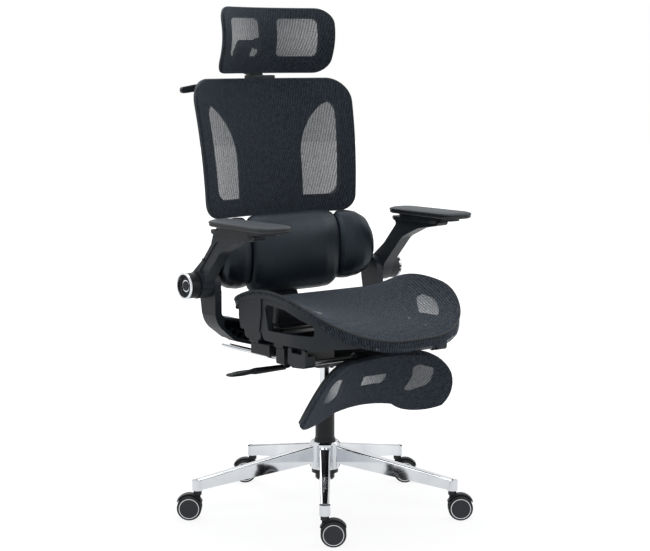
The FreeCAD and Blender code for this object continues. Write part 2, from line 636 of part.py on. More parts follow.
def footrest_bracket():
    """Two cheeks that clasp the crossbar and a plate against the back of the pad frame."""
    lean = math.radians(FOOT_LEAN)
    bar_y, bar_z = CROSSBAR_Y - FOOT_ORIGIN.y, ROD_Z - FOOT_ORIGIN.z
    hinge_y = bar_y * math.cos(lean) + bar_z * math.sin(lean)
    hinge_z = bar_z * math.cos(lean) - bar_y * math.sin(lean)
    cheek = [(hinge_y + 9.0, -22.0, 2.0), (-62.0, -22.0, 2.0), (-62.0, -28.0, 2.0),
             (hinge_y - 9.0, hinge_z - 6.0, 4.0), (hinge_y + 9.0, hinge_z, 4.0)]
    shapes = []
    for x in (-62.0, 44.0):
        shapes.append(prism(cheek, "yz", x, x + 18.0))
        sleeve = rod(V(x, hinge_y, hinge_z), V(x + 18.0, hinge_y, hinge_z), 11.5)
        shapes.append(sleeve)
    shapes.append(prism([(-66.0, 0.0, 8.0), (66.0, 0.0, 8.0), (66.0, -66.0, 8.0), (-66.0, -66.0, 8.0)],
                        "xy", -32.0, -16.0))
    body = shapes[0].fuse(shapes[1:])
    above = foot_slab(-FOOT_FRAME_DEPTH, -60.0)
    body = body.cut(above)
    gap = rod(V(-80.0, hinge_y, hinge_z), V(80.0, hinge_y, hinge_z), ROD_RADIUS + RUNNING_GAP)
    return body.cut(gap).cut(footrest_frame()).removeSplitter()


# Back


def back_slab(lift, thickness):
    """Slab behind the back's face; lift moves it rearwards."""
    def across(x):
        return -BACK_WRAP * (x / BACK_WRAP_AT) ** 2
    depth = through(((757.0, 210.0), (908.0, 224.0), (1035.0, 252.0)))
    return curved_slab(across, lambda z: depth(z) + lift, 262.0, 700.0, 1090.0,
                       lambda u, v, h: V(u, h, v), V(0, thickness, 0))


def back_outline(inset, y0=80.0, y1=360.0):
    top = BACK_TOP - inset
    bottom = BACK_BOTTOM + inset
    return prism([(inset - BACK_TOP_HALF, top, 58.0 - inset), (BACK_TOP_HALF - inset, top, 58.0 - inset),
                  (BACK_BOTTOM_HALF - inset, bottom, 42.0 - inset),
                  (inset - BACK_BOTTOM_HALF, bottom, 42.0 - inset)], "xz", y0, y1)


def back_frame():
    """Wide curved rim behind the mesh."""
    hole = prism([(-204.0, 1010.0, 34.0), (204.0, 1010.0, 34.0), (190.0, 768.0, 30.0), (-190.0, 768.0, 30.0)],
                 "xz", 60.0, 380.0)
    rim = back_slab(0.0, BACK_FRAME_DEPTH).common(back_outline(0.0))
    return rim.cut(hole)


def back_panel():
    """Butterfly panel across the rim, narrow at the waist, with upright stiffening ribs."""
    half = [((98.0, 738.0), None), ((98.0, 850.0), (112.0, 930.0)), ((172.0, 1000.0), (196.0, 1012.0)),
            ((214.0, 1036.0), None), ((196.0, 1052.0), None)]
    arcs = list(half)
    arcs += [((-196.0, 1052.0), None), ((-214.0, 1036.0), (-196.0, 1012.0)),
             ((-172.0, 1000.0), (-112.0, 930.0)), ((-98.0, 850.0), None), ((-98.0, 738.0), None)]
    shape = arc_prism(arcs, "xz", 80.0, 380.0)
    panel = back_slab(BACK_FRAME_DEPTH, PANEL_DEPTH).common(shape)
    ribs = []
    for x in (-90.0, -62.0, 56.0, 84.0):
        ribs.append(box(x, x + 6.0, 100.0, 380.0, 752.0, 955.0))
    deep = back_slab(BACK_FRAME_DEPTH + PANEL_DEPTH - 1.0, 9.0)
    ribs = [deep.common(rib) for rib in ribs]
    return panel.fuse(ribs).removeSplitter()


def back_mesh():
    return back_slab(-BACK_SHEET, BACK_SHEET).common(back_outline(1.5))


def spine_column():
    """Hollow-backed column from the cradle up behind the lumbar pads to the panel."""
    def level(z, front, rear, wide):
        half = wide / 2.0
        return outline([(-half, front, 7.0), (half, front, 7.0), (half, rear, 7.0), (-half, rear, 7.0)], "xy", z)
    sections = [level(446.0, 126.0, 154.0, 110.0), level(490.0, 142.0, 172.0, 84.0),
                level(560.0, 176.0, 208.0, 74.0), level(640.0, 208.0, 238.0, 74.0),
                level(740.0, 233.0, 257.0, 84.0), level(845.0, 242.0, 260.0, 96.0)]
    column = Part.makeLoft(sections, True, True)
    front_cut = back_slab(BACK_FRAME_DEPTH + PANEL_DEPTH + 8.0, -200.0)
    upper = box(-120.0, 120.0, 60.0, 320.0, 730.0, 860.0)
    return column.cut(front_cut.common(upper))


def hex_rib_field(y0, y1):
    """Honeycomb walls for the lower half of the cradle's front pocket."""
    cell = 11.5
    wall = 1.8
    step_x = 1.5 * cell
    step_z = math.sqrt(3.0) * cell
    cells = []
    for i in range(5):
        for j in range(3):
            x = 238.0 - i * step_x
            z = 430.0 + j * step_z + (step_z / 2.0 if i % 2 else 0.0) + i * 1.0
            radius = cell - wall / 2.0
            ring = [V(x + radius * math.cos(math.radians(60 * k)), y0,
                      z + radius * math.sin(math.radians(60 * k))) for k in range(7)]
            cells.append(Part.Face(Part.makePolygon(ring)).extrude(V(0, y1 - y0, 0)))
    return cells


def cradle():
    """U-shaped carrier: two J-arms, honeycomb pockets below, barrels on the recline shaft."""
    outer = [(CRADLE_ARM_OUTER, 560.0, 0), (CRADLE_ARM_OUTER, 482.0, 60.0), (205.0, 432.0, 40.0),
             (140.0, 414.0, 40.0), (96.0, 412.0, 20.0), (62.0, 412.0, 0), (62.0, 458.0, 0), (100.0, 462.0, 20.0),
             (190.0, 486.0, 30.0), (CRADLE_ARM_INNER, 496.0, 14.0), (CRADLE_ARM_INNER, 560.0, 0)]
    bend = prism(outer, "xz", 92.0, 150.0)
    pocket = [(238.0, 490.0, 6.0), (238.0, 470.0, 20.0), (201.0, 442.0, 20.0), (140.0, 424.0, 20.0),
              (112.0, 424.0, 6.0), (112.0, 458.0, 6.0), (190.0, 479.0, 20.0)]
    hollow = prism(pocket, "xz", 90.0, 130.0)
    web = prism([(250.0, 420.0, 0), (250.0, 470.0, 0), (205.0, 463.0, 20.0), (150.0, 446.0, 20.0),
                 (100.0, 440.0, 0), (100.0, 400.0, 0)], "xz", 98.0, 132.0).common(hollow)
    for cell in hex_rib_field(80.0, 128.0):
        web = web.cut(cell)
    taper = prism([(88.0, 400.0, 0), (130.0, 400.0, 30.0), (152.0, 470.0, 60.0), (166.0, 560.0, 0),
                   (166.0, 600.0, 0), (88.0, 600.0, 0)], "yz", 40.0, 300.0)
    bend = bend.cut(hollow).fuse(web).common(taper)
    upright = prism([(92.0, 500.0, 0), (150.0, 500.0, 0), (160.0, 556.0, 20.0), (160.0, 575.0, 0),
                     (94.0, 575.0, 0), (92.0, 540.0, 40.0)], "yz", CRADLE_ARM_INNER, CRADLE_ARM_OUTER)
    eye = rod(V(CRADLE_ARM_INNER, ARM_PIVOT_Y, ARM_PIVOT_Z), V(CRADLE_ARM_OUTER, ARM_PIVOT_Y, ARM_PIVOT_Z),
              ARM_BARREL_RADIUS)
    half = bend.fuse([upright, eye])
    cheek = prism([(RECLINE_Y - 8.0, RECLINE_Z - 10.0, 6.0), (RECLINE_Y - 8.0, RECLINE_Z + 12.0, 6.0),
                   (134.0, 458.0, 4.0), (134.0, 412.0, 4.0)], "yz", 67.0, 90.0)
    barrel = rod(V(67.0, RECLINE_Y, RECLINE_Z), V(90.0, RECLINE_Y, RECLINE_Z), BARREL_RADIUS)
    half = half.cut(box(0.0, 92.0, 80.0, 127.0, 390.0, 470.0)).fuse([cheek, barrel])
    bridge = prism([(127.0, 414.0, 6.0), (127.0, 456.0, 6.0), (150.0, 456.0, 8.0), (150.0, 414.0, 8.0)],
                   "yz", -1.0, 92.0)
    half = half.fuse(bridge)
    whole = half.fuse(mirrored(half))
    whole = whole.cut(rod(V(-120.0, RECLINE_Y, RECLINE_Z), V(120.0, RECLINE_Y, RECLINE_Z),
                          RECLINE_SHAFT_RADIUS + RUNNING_GAP))
    for sign in (-1.0, 1.0):
        start = V(sign * (CRADLE_ARM_INNER - 5.0), ARM_PIVOT_Y, ARM_PIVOT_Z)
        end = V(sign * (CRADLE_ARM_OUTER + 5.0), ARM_PIVOT_Y, ARM_PIVOT_Z)
        whole = whole.cut(rod(start, end, ARM_SHAFT_RADIUS))
    relief = prism([(112.0, 400.0, 0), (112.0, 430.0, 0), (152.0, 447.0, 0), (170.0, 400.0, 0)], "yz",
                   ROD_X - 9.0, ROD_X + 9.0)
    return whole.cut([spine_column(), relief, mirrored(relief)]).removeSplitter()


def recline_shaft():
    return rod(V(-95.0, RECLINE_Y, RECLINE_Z), V(95.0, RECLINE_Y, RECLINE_Z), RECLINE_SHAFT_RADIUS)


def coat_hanger():
    """Flat bent bar behind the top of the back, with drooping rounded tips."""
    front, rear = 302.0, 312.0
    bar = prism([(-216.0, 1030.0, 7.0), (-216.0, 1046.0, 7.0), (-170.0, 1053.0, 40.0), (170.0, 1053.0, 40.0),
                 (216.0, 1046.0, 7.0), (216.0, 1030.0, 7.0), (160.0, 1036.0, 40.0), (-160.0, 1036.0, 40.0)],
                "xz", front, rear)
    lug = prism([(-30.0, 1020.0, 5.0), (-30.0, 1052.0, 5.0), (30.0, 1052.0, 5.0), (30.0, 1020.0, 5.0)],
                "xz", 301.0, front + 1.0)
    return bar.fuse(lug).removeSplitter()


def neck_bracket():
    """Upright channel behind the panel in which the headrest's neck slides."""
    body = prism([(-32.0, 960.0, 8.0), (32.0, 960.0, 8.0), (32.0, 1066.0, 6.0), (-32.0, 1066.0, 6.0)],
                 "xz", 230.0, 301.0)
    body = body.cut(back_slab(BACK_FRAME_DEPTH + PANEL_DEPTH, -200.0))
    slot = box(-21.2, 21.2, 284.8, 295.2, 950.0, 1080.0)
    return body.cut(slot)


# Lumbar support


def lumbar_section(x, front, top, bottom):
    """D-shaped section across a pad: one smooth bowed front, flat back, drawn-in edges."""
    rear = 150.0
    depth = rear - front
    height = top - bottom
    bow = [V(x, rear - 6.0, top - 5.0), V(x, front + depth * 0.30, top - height * 0.12),
           V(x, front + depth * 0.06, top - height * 0.30), V(x, front, (top + bottom) / 2.0),
           V(x, front + depth * 0.06, bottom + height * 0.30), V(x, front + depth * 0.30, bottom + height * 0.12),
           V(x, rear - 6.0, bottom + 5.0)]
    skin = Part.BSplineCurve()
    skin.interpolate(bow)
    low, high = V(x, rear, bottom + 22.0), V(x, rear, top - 22.0)
    edges = [skin.toShape(), Part.LineSegment(bow[-1], low).toShape(), Part.LineSegment(low, high).toShape(),
             Part.LineSegment(high, bow[0]).toShape()]
    return Part.Wire(edges)


def lumbar_centre():
    half = ((137.0, 114.0, 718.0, 551.0), (129.0, 106.0, 726.0, 539.0), (114.0, 100.0, 731.0, 532.0),
            (80.0, 94.0, 733.0, 530.0), (30.0, 91.0, 733.0, 530.0))
    rows = [(-row[0],) + row[1:] for row in half] + list(reversed(half))
    return Part.makeLoft([lumbar_section(*row) for row in rows], True, True)


def lumbar_side():
    rows = ((138.0, 114.0, 720.0, 556.0), (148.0, 104.0, 727.0, 549.0), (172.0, 94.0, 728.0, 548.0),
            (200.0, 88.0, 723.0, 553.0), (222.0, 88.0, 711.0, 564.0), (235.0, 96.0, 693.0, 580.0),
            (240.0, 110.0, 672.0, 600.0))
    return Part.makeLoft([lumbar_section(*row) for row in rows], True, True)


def lumbar_shell():
    """Backing plate behind the three pads, ribbed, with the sleeve it rocks on."""
    plate = prism([(-224.0, 580.0, 30.0), (-224.0, 700.0, 24.0), (-120.0, 712.0, 60.0), (120.0, 712.0, 60.0),
                   (224.0, 700.0, 24.0), (224.0, 580.0, 30.0), (120.0, 560.0, 60.0), (-120.0, 560.0, 60.0)],
                  "xz", 150.0, 156.0)
    ribs = [box(x, x + 4.0, 156.0, 166.0, 586.0, 694.0) for x in (-190.0, -140.0, -90.0, 86.0, 136.0, 186.0)]
    ribs.append(box(-186.0, 186.0, 156.0, 164.0, 636.0, 640.0))
    hub = prism([(155.0, 612.0, 0), (155.0, 668.0, 0), (188.0, 650.0, 8.0), (188.0, 630.0, 8.0)], "yz", -17.0, 17.0)
    shape = plate.fuse(ribs + [hub])
    return shape.cut(rod(V(-30.0, 178.0, 640.0), V(30.0, 178.0, 640.0), 5.0 + RUNNING_GAP)).removeSplitter()


def lumbar_bracket():
    """Fork on the column's front that carries the lumbar hinge pin."""
    shapes = []
    for x in (-30.0, 18.0):
        shapes.append(prism([(170.0, 630.0, 8.0), (170.0, 650.0, 8.0), (215.0, 668.0, 0), (215.0, 612.0, 0)],
                            "yz", x, x + 12.0))
    plate = prism([(192.0, 612.0, 0), (206.0, 668.0, 0), (222.0, 668.0, 0), (222.0, 612.0, 0)], "yz", -30.0, 30.0)
    shape = shapes[0].fuse([shapes[1], plate])
    shape = shape.cut(spine_column())
    shape = max(shape.Solids, key=lambda solid: solid.Volume)
    return shape.cut(rod(V(-40.0, 178.0, 640.0), V(40.0, 178.0, 640.0), 5.0))


def lumbar_pin():
    return rod(V(-31.0, 178.0, 640.0), V(31.0, 178.0, 640.0), 5.0)


# Armrests, modelled on the +X side


def arm_shaft():
    return rod(V(CRADLE_ARM_INNER, ARM_PIVOT_Y, ARM_PIVOT_Z), V(POST_OUTER + 1.0, ARM_PIVOT_Y, ARM_PIVOT_Z),
               ARM_SHAFT_RADIUS)


def arm_cap():
    """Round end cap, dished inside its bright ring."""
    centre = V(0, ARM_PIVOT_Y, ARM_PIVOT_Z)
    start = POST_OUTER + 1.0
    body = drum([(0, start), (30.0, start), (31.0, start + 3.0), (31.0, CAP_OUTER - 6.0), (27.0, CAP_OUTER - 6.0),
                 (25.0, CAP_OUTER - 10.0), (12.0, CAP_OUTER - 10.0), (11.0, CAP_OUTER - 4.0),
                 (0, CAP_OUTER - 4.0)], "x", centre)
    return body


def arm_cap_rings():
    """Wide outer ring and thin inner ring on the cap's face."""
    centre = V(0, ARM_PIVOT_Y, ARM_PIVOT_Z)
    wide = drum([(27.0, CAP_OUTER - 6.0), (31.0, CAP_OUTER - 6.0), (33.0, CAP_OUTER - 3.0), (32.0, CAP_OUTER),
                 (28.0, CAP_OUTER)], "x", centre)
    thin = drum([(12.0, CAP_OUTER - 10.0), (15.0, CAP_OUTER - 10.0), (14.5, CAP_OUTER - 6.0),
                 (12.0, CAP_OUTER - 6.0)], "x", centre)
    return [wide, thin]


def arm_post():
    """Slanted post slab that swells into the flange under the pad and the barrel below."""
    side = [(58.0, 708.0, 4.0), (40.0, 700.0, 8.0), (92.0, 642.0, 60.0), (161.0, 588.0, 20.0),
            (161.0, 570.0, 0), (93.0, 570.0, 0), (92.0, 586.0, 30.0), (20.0, 664.0, 50.0), (-40.0, 690.0, 60.0),
            (-116.0, 703.0, 8.0), (-120.0, 712.0, 2.0), (-60.0, FLANGE_TOP, 0), (58.0, FLANGE_TOP, 3.0)]
    slab = prism(side, "yz", POST_INNER, POST_OUTER)
    groove = [(36.0, 688.0, 8.0), (108.0, 612.0, 5.0), (94.0, 604.0, 5.0), (26.0, 676.0, 20.0),
              (-20.0, 692.0, 5.0)]
    slab = slab.cut(prism(groove, "yz", POST_OUTER - 3.0, POST_OUTER + 1.0))
    flange = prism([(254.0, -112.0, 16.0), (304.0, -112.0, 16.0), (304.0, 52.0, 16.0), (254.0, 52.0, 16.0)],
                   "xy", 707.0, FLANGE_TOP)
    barrel = rod(V(POST_INNER, ARM_PIVOT_Y, ARM_PIVOT_Z), V(POST_OUTER, ARM_PIVOT_Y, ARM_PIVOT_Z),
                 ARM_BARREL_RADIUS)
    shape = slab.fuse([flange, barrel])
    rail = box(262.0, 296.0, -60.0, 20.0, FLANGE_TOP - 1.0, FLANGE_TOP + 4.0)
    shape = shape.fuse(rail)
    bore = rod(V(POST_INNER - 5.0, ARM_PIVOT_Y, ARM_PIVOT_Z), V(POST_OUTER + 5.0, ARM_PIVOT_Y, ARM_PIVOT_Z),
               ARM_SHAFT_RADIUS + RUNNING_GAP)
    return shape.cut(bore).removeSplitter()


def arm_slide_plate():
    """Plate that runs fore and aft on the post's rail and carries the pad on a round boss."""
    plate = prism([(250.0, -165.0, 24.0), (308.0, -165.0, 24.0), (308.0, 28.0, 24.0), (250.0, 28.0, 24.0)],
                  "xy", FLANGE_TOP + 0.2, PAD_BOTTOM - 0.3)
    channel = box(261.8, 296.2, -104.0, 62.0, FLANGE_TOP - 2.0, FLANGE_TOP + 4.2)
    boss = Part.makeCylinder(14.0, 5.0, V(PAD_X, PAD_Y, PAD_BOTTOM - 1.0))
    return plate.cut(channel).fuse(boss).removeSplitter()


def pad_outline(inset, z):
    half = PAD_WIDTH / 2.0 - inset
    front = PAD_Y - PAD_LENGTH / 2.0 + inset
    rear = PAD_Y + PAD_LENGTH / 2.0 - inset
    corner = 40.0 - inset
    return outline([(PAD_X - half, front, corner), (PAD_X + half, front, corner),
                    (PAD_X + half - 4.0, rear, corner - 4.0), (PAD_X - half + 4.0, rear, corner - 4.0)], "xy", z)


def arm_pad():
    """Soft pad, crowned, with a seam line round its edge."""
    lower = Part.makeLoft([pad_outline(6.0, PAD_BOTTOM), pad_outline(1.0, 729.0), pad_outline(2.0, 732.0)],
                          True, True)
    upper = Part.makeLoft([pad_outline(2.0, 732.0), pad_outline(0.0, 733.5), pad_outline(2.0, 737.5),
                           pad_outline(12.0, 740.3), pad_outline(26.0, PAD_TOP)], True, True)
    boss = Part.makeCylinder(14.0 + RUNNING_GAP, 5.4, V(PAD_X, PAD_Y, PAD_BOTTOM - 1.0))
    return lower.fuse(upper).cut(boss)


# Headrest


def head_slab(lift, thickness):
    def across(x):
        return -HEAD_WRAP * (x / HEAD_WRAP_AT) ** 2
    depth = through(((1081.0, 260.0), (1163.0, 229.0), (1243.0, 246.0)))
    return curved_slab(across, lambda z: depth(z) + lift, 190.0, 1070.0, 1255.0,
                       lambda u, v, h: V(u, h, v), V(0, thickness, 0))


def head_outline(inset):
    half = HEAD_HALF - inset
    top = HEAD_TOP - inset
    bottom = HEAD_BOTTOM + inset
    return prism([(-half, top, 38.0 - inset), (half, top, 38.0 - inset), (half - 3.0, bottom, 34.0 - inset),
                  (3.0 - half, bottom, 34.0 - inset)], "xz", 80.0, 360.0)


def head_frame():
    """Curved rim with an upright bar in the middle and two lugs behind it."""
    rim = head_slab(0.0, HEAD_FRAME_DEPTH).common(head_outline(0.0))
    for sign in (-1.0, 1.0):
        near, far = (24.0, 138.0) if sign > 0 else (-138.0, -24.0)
        rim = rim.cut(prism([(near, 1217.0, 14.0), (far, 1217.0, 14.0), (far, 1122.0, 14.0), (near, 1122.0, 14.0)],
                            "xz", 60.0, 380.0))
    lugs = []
    for x in (-24.0, 14.5):
        lugs.append(prism([(238.0, 1138.0, 0), (238.0, 1170.0, 0), (268.0, 1166.0, 10.0), (268.0, 1142.0, 10.0)],
                          "yz", x, x + 9.5))
    front = head_slab(1.0, -200.0)
    lugs = [lug.cut(front) for lug in lugs]
    shape = rim.fuse(lugs)
    return shape.cut(rod(V(-40.0, HEAD_PIVOT_Y, HEAD_PIVOT_Z), V(40.0, HEAD_PIVOT_Y, HEAD_PIVOT_Z), 5.0))


def head_mesh():
    return head_slab(-HEAD_SHEET, HEAD_SHEET).common(head_outline(1.5))


def head_shaft():
    return rod(V(-25.0, HEAD_PIVOT_Y, HEAD_PIVOT_Z), V(25.0, HEAD_PIVOT_Y, HEAD_PIVOT_Z), 5.0)


def neck():
    """C-shaped neck: flat tongue in the bracket, bowed back and up, sleeve on the headrest shaft."""
    side = [(285.0, 972.0, 2.0), (295.0, 972.0, 2.0), (295.0, 1074.0, 10.0), (352.0, 1088.0, 22.0),
            (364.0, 1126.0, 26.0), (338.0, 1164.0, 20.0), (HEAD_PIVOT_Y, 1163.0, 0), (HEAD_PIVOT_Y, 1145.0, 0),
            (330.0, 1146.0, 14.0), (346.0, 1124.0, 16.0), (338.0, 1099.0, 14.0), (285.0, 1080.0, 12.0)]
    body = prism(side, "yz", -21.0, 21.0)
    body = body.cut(box(-30.0, -14.0, 240.0, 276.0, 1130.0, 1180.0)).cut(
        box(14.0, 30.0, 240.0, 276.0, 1130.0, 1180.0))
    sleeve = rod(V(-14.0, HEAD_PIVOT_Y, HEAD_PIVOT_Z), V(14.0, HEAD_PIVOT_Y, HEAD_PIVOT_Z), 9.5)
    body = body.fuse(sleeve)
    return body.cut(rod(V(-40.0, HEAD_PIVOT_Y, HEAD_PIVOT_Z), V(40.0, HEAD_PIVOT_Y, HEAD_PIVOT_Z),
                        5.0 + RUNNING_GAP)).removeSplitter()


def build_base():
    save("star_base", star_base())
    save("hub_collar", hub_collar())
    save("retaining_clip", retaining_clip())
    save("gas_lift_tube", lift_tube())
    save("gas_lift_stem", lift_stem())
    hood = caster_hood()
    for k in range(ARM_COUNT):
        save("caster_hood_%d" % (k + 1), place_caster(hood, k))
        for side, letter in ((-1.0, "a"), (1.0, "b")):
            save("caster_wheel_%d%s" % (k + 1, letter), place_caster(caster_wheel(side), k))


def build_mechanism():
    save("mechanism_housing", mechanism_housing())
    save("mounting_plate", mounting_plate())
    save("recline_shaft", recline_shaft())
    save("lever_bush", lever_bush())
    save("lever_rod", lever_rod())
    save("lever_grip", lever_grip())
    save("tension_knob", tension_knob())
    save("cross_beams", cross_beam(-128.0, -92.0, 457.7), rear_beam())
    save("rod_guides", guide_rear(), guide_middle(), mirrored(guide_rear()), mirrored(guide_middle()))


def build_seat():
    save("seat_frame", seat_frame())
    save("seat_mesh", seat_mesh())


def build_footrest():
    save("footrest_rods", *footrest_rods())
    save("footrest_crossbar", footrest_crossbar())
    save("footrest_corners", footrest_corner(), mirrored(footrest_corner()))
    save("footrest_bracket", foot_place(footrest_bracket()))
    save("footrest_frame", foot_place(footrest_frame()))
    save("footrest_mesh", foot_place(footrest_mesh()))


def build_back():
    save("cradle", cradle())
    save("spine_column", spine_column())
    save("back_panel", back_panel())
    save("back_frame", back_frame())
    save("back_mesh", back_mesh())
    save("neck_bracket", neck_bracket())
    save("coat_hanger", coat_hanger())
    save("lumbar_bracket", lumbar_bracket())
    save("lumbar_shell", lumbar_shell())
    save("lumbar_pad_centre", lumbar_centre())
    save("lumbar_pads_side", lumbar_side(), mirrored(lumbar_side()))


def build_arms():
    pieces = (("arm_post", [arm_post()]), ("arm_slide_plate", [arm_slide_plate()]), ("arm_pad", [arm_pad()]))
    for name, solids in pieces:
        save(name + "_left", *solids)
        save(name + "_right", *[mirrored(solid) for solid in solids])
    for name, solids in (("arm_caps", [arm_cap()]), ("arm_cap_rings", arm_cap_rings())):
        save(name, *(solids + [mirrored(solid) for solid in solids]))
    save("back_pivot_pins", arm_shaft(), mirrored(arm_shaft()), lumbar_pin())


def build_headrest():
    save("neck", neck())
    save("headrest_frame", head_frame(), head_shaft())
    save("headrest_mesh", head_mesh())


build_base()
build_mechanism()
build_seat()
build_footrest()
build_back()
build_arms()
build_headrest()
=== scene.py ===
import json
import math

import bmesh
import bpy
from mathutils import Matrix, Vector, noise
from mathutils.bvhtree import BVHTree

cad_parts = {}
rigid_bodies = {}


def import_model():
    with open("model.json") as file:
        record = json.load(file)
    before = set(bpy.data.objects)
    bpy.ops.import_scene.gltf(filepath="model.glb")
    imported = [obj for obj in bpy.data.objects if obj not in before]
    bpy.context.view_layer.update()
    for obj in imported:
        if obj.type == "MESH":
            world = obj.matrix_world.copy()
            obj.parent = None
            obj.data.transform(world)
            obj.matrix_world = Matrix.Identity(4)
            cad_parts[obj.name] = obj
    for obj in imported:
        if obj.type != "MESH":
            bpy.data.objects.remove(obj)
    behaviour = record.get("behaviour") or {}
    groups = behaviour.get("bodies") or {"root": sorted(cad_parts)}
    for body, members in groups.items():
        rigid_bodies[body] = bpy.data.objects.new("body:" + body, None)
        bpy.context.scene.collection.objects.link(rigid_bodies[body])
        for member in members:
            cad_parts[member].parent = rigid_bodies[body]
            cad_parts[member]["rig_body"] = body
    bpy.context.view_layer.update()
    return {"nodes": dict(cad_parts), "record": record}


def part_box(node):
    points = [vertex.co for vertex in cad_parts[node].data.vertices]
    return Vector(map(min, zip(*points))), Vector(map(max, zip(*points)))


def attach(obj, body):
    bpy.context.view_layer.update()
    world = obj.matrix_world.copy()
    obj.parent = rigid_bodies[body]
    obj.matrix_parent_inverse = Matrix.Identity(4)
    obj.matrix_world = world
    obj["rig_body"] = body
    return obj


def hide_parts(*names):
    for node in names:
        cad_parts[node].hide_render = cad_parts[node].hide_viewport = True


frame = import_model()
nodes = frame["nodes"]
scene = bpy.context.scene
scene.view_settings.view_transform = "Standard"


# Camera, lights and floor. All lengths are in metres.

CAMERA_PLACE = (-2.5124, -3.2214, 1.1267)
CAMERA_FORWARD = (0.6097, 0.7817, -0.1309)
CAMERA_LENS = 92.69

# Each lamp's name, place, the point that it faces, its two sides and its power.
LAMPS = (
    ("key", (-2.6, -2.6, 3.4), (0.0, 0.0, 0.7), (2.6, 2.0), 60.0),
    ("fill", (3.2, -1.6, 2.2), (0.0, 0.0, 0.6), (2.2, 2.2), 26.0),
    ("top", (0.3, 0.6, 3.9), (0.0, 0.0, 0.6), (2.4, 2.4), 42.0),
    ("rear", (0.6, 3.4, 2.4), (0.0, 0.0, 0.8), (2.4, 1.6), 26.0),
)

SOFT_LIGHT = (0.91, 0.95, 1.0, 1)
SOFT_STRENGTH = 0.34
WHITE = (1, 1, 1, 1)

FLOOR_HALF = 14.0
FLOOR_COLOUR = (0.62, 0.62, 0.62, 1)
FLOOR_GLOW = 1.25
# The glowing share of the floor grows between these two distances from the object, near which its
# shadow shows.
GLOW_NEAR = 0.45
GLOW_FAR = 1.1
GLOW_SHARE_NEAR = 0.70
GLOW_SHARE_FAR = 1.0

BAND_RADIUS = 3.0
BAND_LOW = 0.30
BAND_HIGH = 0.86
BAND_STEPS = 48
# The band is open at the last two of every twelve steps.
BAND_REPEAT = 12
BAND_CLOSED = 10


def aim(thing, direction):
    """Turn a camera or a lamp so that it looks along a direction."""
    thing.rotation_mode = "QUATERNION"
    thing.rotation_quaternion = direction.to_track_quat("-Z", "Y")


def make_camera():
    data = bpy.data.cameras.new("camera")
    data.lens = CAMERA_LENS
    data.sensor_width = 36.0
    data.clip_start = 0.1
    data.clip_end = 60.0
    camera = bpy.data.objects.new("camera", data)
    scene.collection.objects.link(camera)
    camera.location = CAMERA_PLACE
    aim(camera, Vector(CAMERA_FORWARD).normalized())
    scene.camera = camera


def make_lamps():
    for name, place, towards, size, power in LAMPS:
        data = bpy.data.lights.new(name, "AREA")
        data.shape = "RECTANGLE"
        data.size, data.size_y = size
        data.energy = power
        lamp = bpy.data.objects.new(name, data)
        scene.collection.objects.link(lamp)
        lamp.location = place
        aim(lamp, Vector(towards) - Vector(place))


def empty_tree(holder):
    """The node tree of a world or material, with nothing in it yet."""
    holder.use_nodes = True
    holder.node_tree.nodes.clear()
    return holder.node_tree


def two_inputs(tree, operation, first, second):
    """Output of a math node on two sockets."""
    node = tree.nodes.new("ShaderNodeMath")
    node.operation = operation
    tree.links.new(first, node.inputs[0])
    tree.links.new(second, node.inputs[1])
    return node.outputs[0]


def seen_as_white(tree):
    """Factor that is 1 for rays that show the background: camera, glossy and transmission rays."""
    path = tree.nodes.new("ShaderNodeLightPath")
    camera, glossy = path.outputs["Is Camera Ray"], path.outputs["Is Glossy Ray"]
    direct = two_inputs(tree, "MAXIMUM", camera, glossy)
    return two_inputs(tree, "MAXIMUM", direct, path.outputs["Is Transmission Ray"])


def mix_to_output(tree, output_kind, factor, first, second):
    """Send a mix of two shaders to the tree's output."""
    out = tree.nodes.new(output_kind)
    mix = tree.nodes.new("ShaderNodeMixShader")
    tree.links.new(factor, mix.inputs[0])
    tree.links.new(first.outputs[0], mix.inputs[1])
    tree.links.new(second.outputs[0], mix.inputs[2])
    tree.links.new(mix.outputs[0], out.inputs[0])


def make_world():
    """Soft light from all round, and plain white where the background itself is seen."""
    scene.world = bpy.data.worlds.new("studio")
    tree = empty_tree(scene.world)
    soft = tree.nodes.new("ShaderNodeBackground")
    soft.inputs["Color"].default_value = SOFT_LIGHT
    soft.inputs["Strength"].default_value = SOFT_STRENGTH
    white = tree.nodes.new("ShaderNodeBackground")
    white.inputs["Color"].default_value = WHITE
    white.inputs["Strength"].default_value = 1.0
    mix_to_output(tree, "ShaderNodeOutputWorld", seen_as_white(tree), soft, white)


def glow_share(tree):
    """Share of the floor that glows, growing with the distance from the object."""
    place = tree.nodes.new("ShaderNodeTexCoord")
    distance = tree.nodes.new("ShaderNodeVectorMath")
    distance.operation = "LENGTH"
    tree.links.new(place.outputs["Object"], distance.inputs[0])
    share = tree.nodes.new("ShaderNodeMapRange")
    share.interpolation_type = "SMOOTHSTEP"
    share.inputs["From Min"].default_value = GLOW_NEAR
    share.inputs["From Max"].default_value = GLOW_FAR
    share.inputs["To Min"].default_value = GLOW_SHARE_NEAR
    share.inputs["To Max"].default_value = GLOW_SHARE_FAR
    tree.links.new(distance.outputs["Value"], share.inputs["Value"])
    return share.outputs["Result"]


def stage_mesh(name, verts, faces, material):
    """A mesh of the studio's, which is no part of the object."""
    mesh = bpy.data.meshes.new(name)
    mesh.from_pydata(verts, [], faces)
    mesh.materials.append(material)
    thing = bpy.data.objects.new(name, mesh)
    scene.collection.objects.link(thing)
    return thing


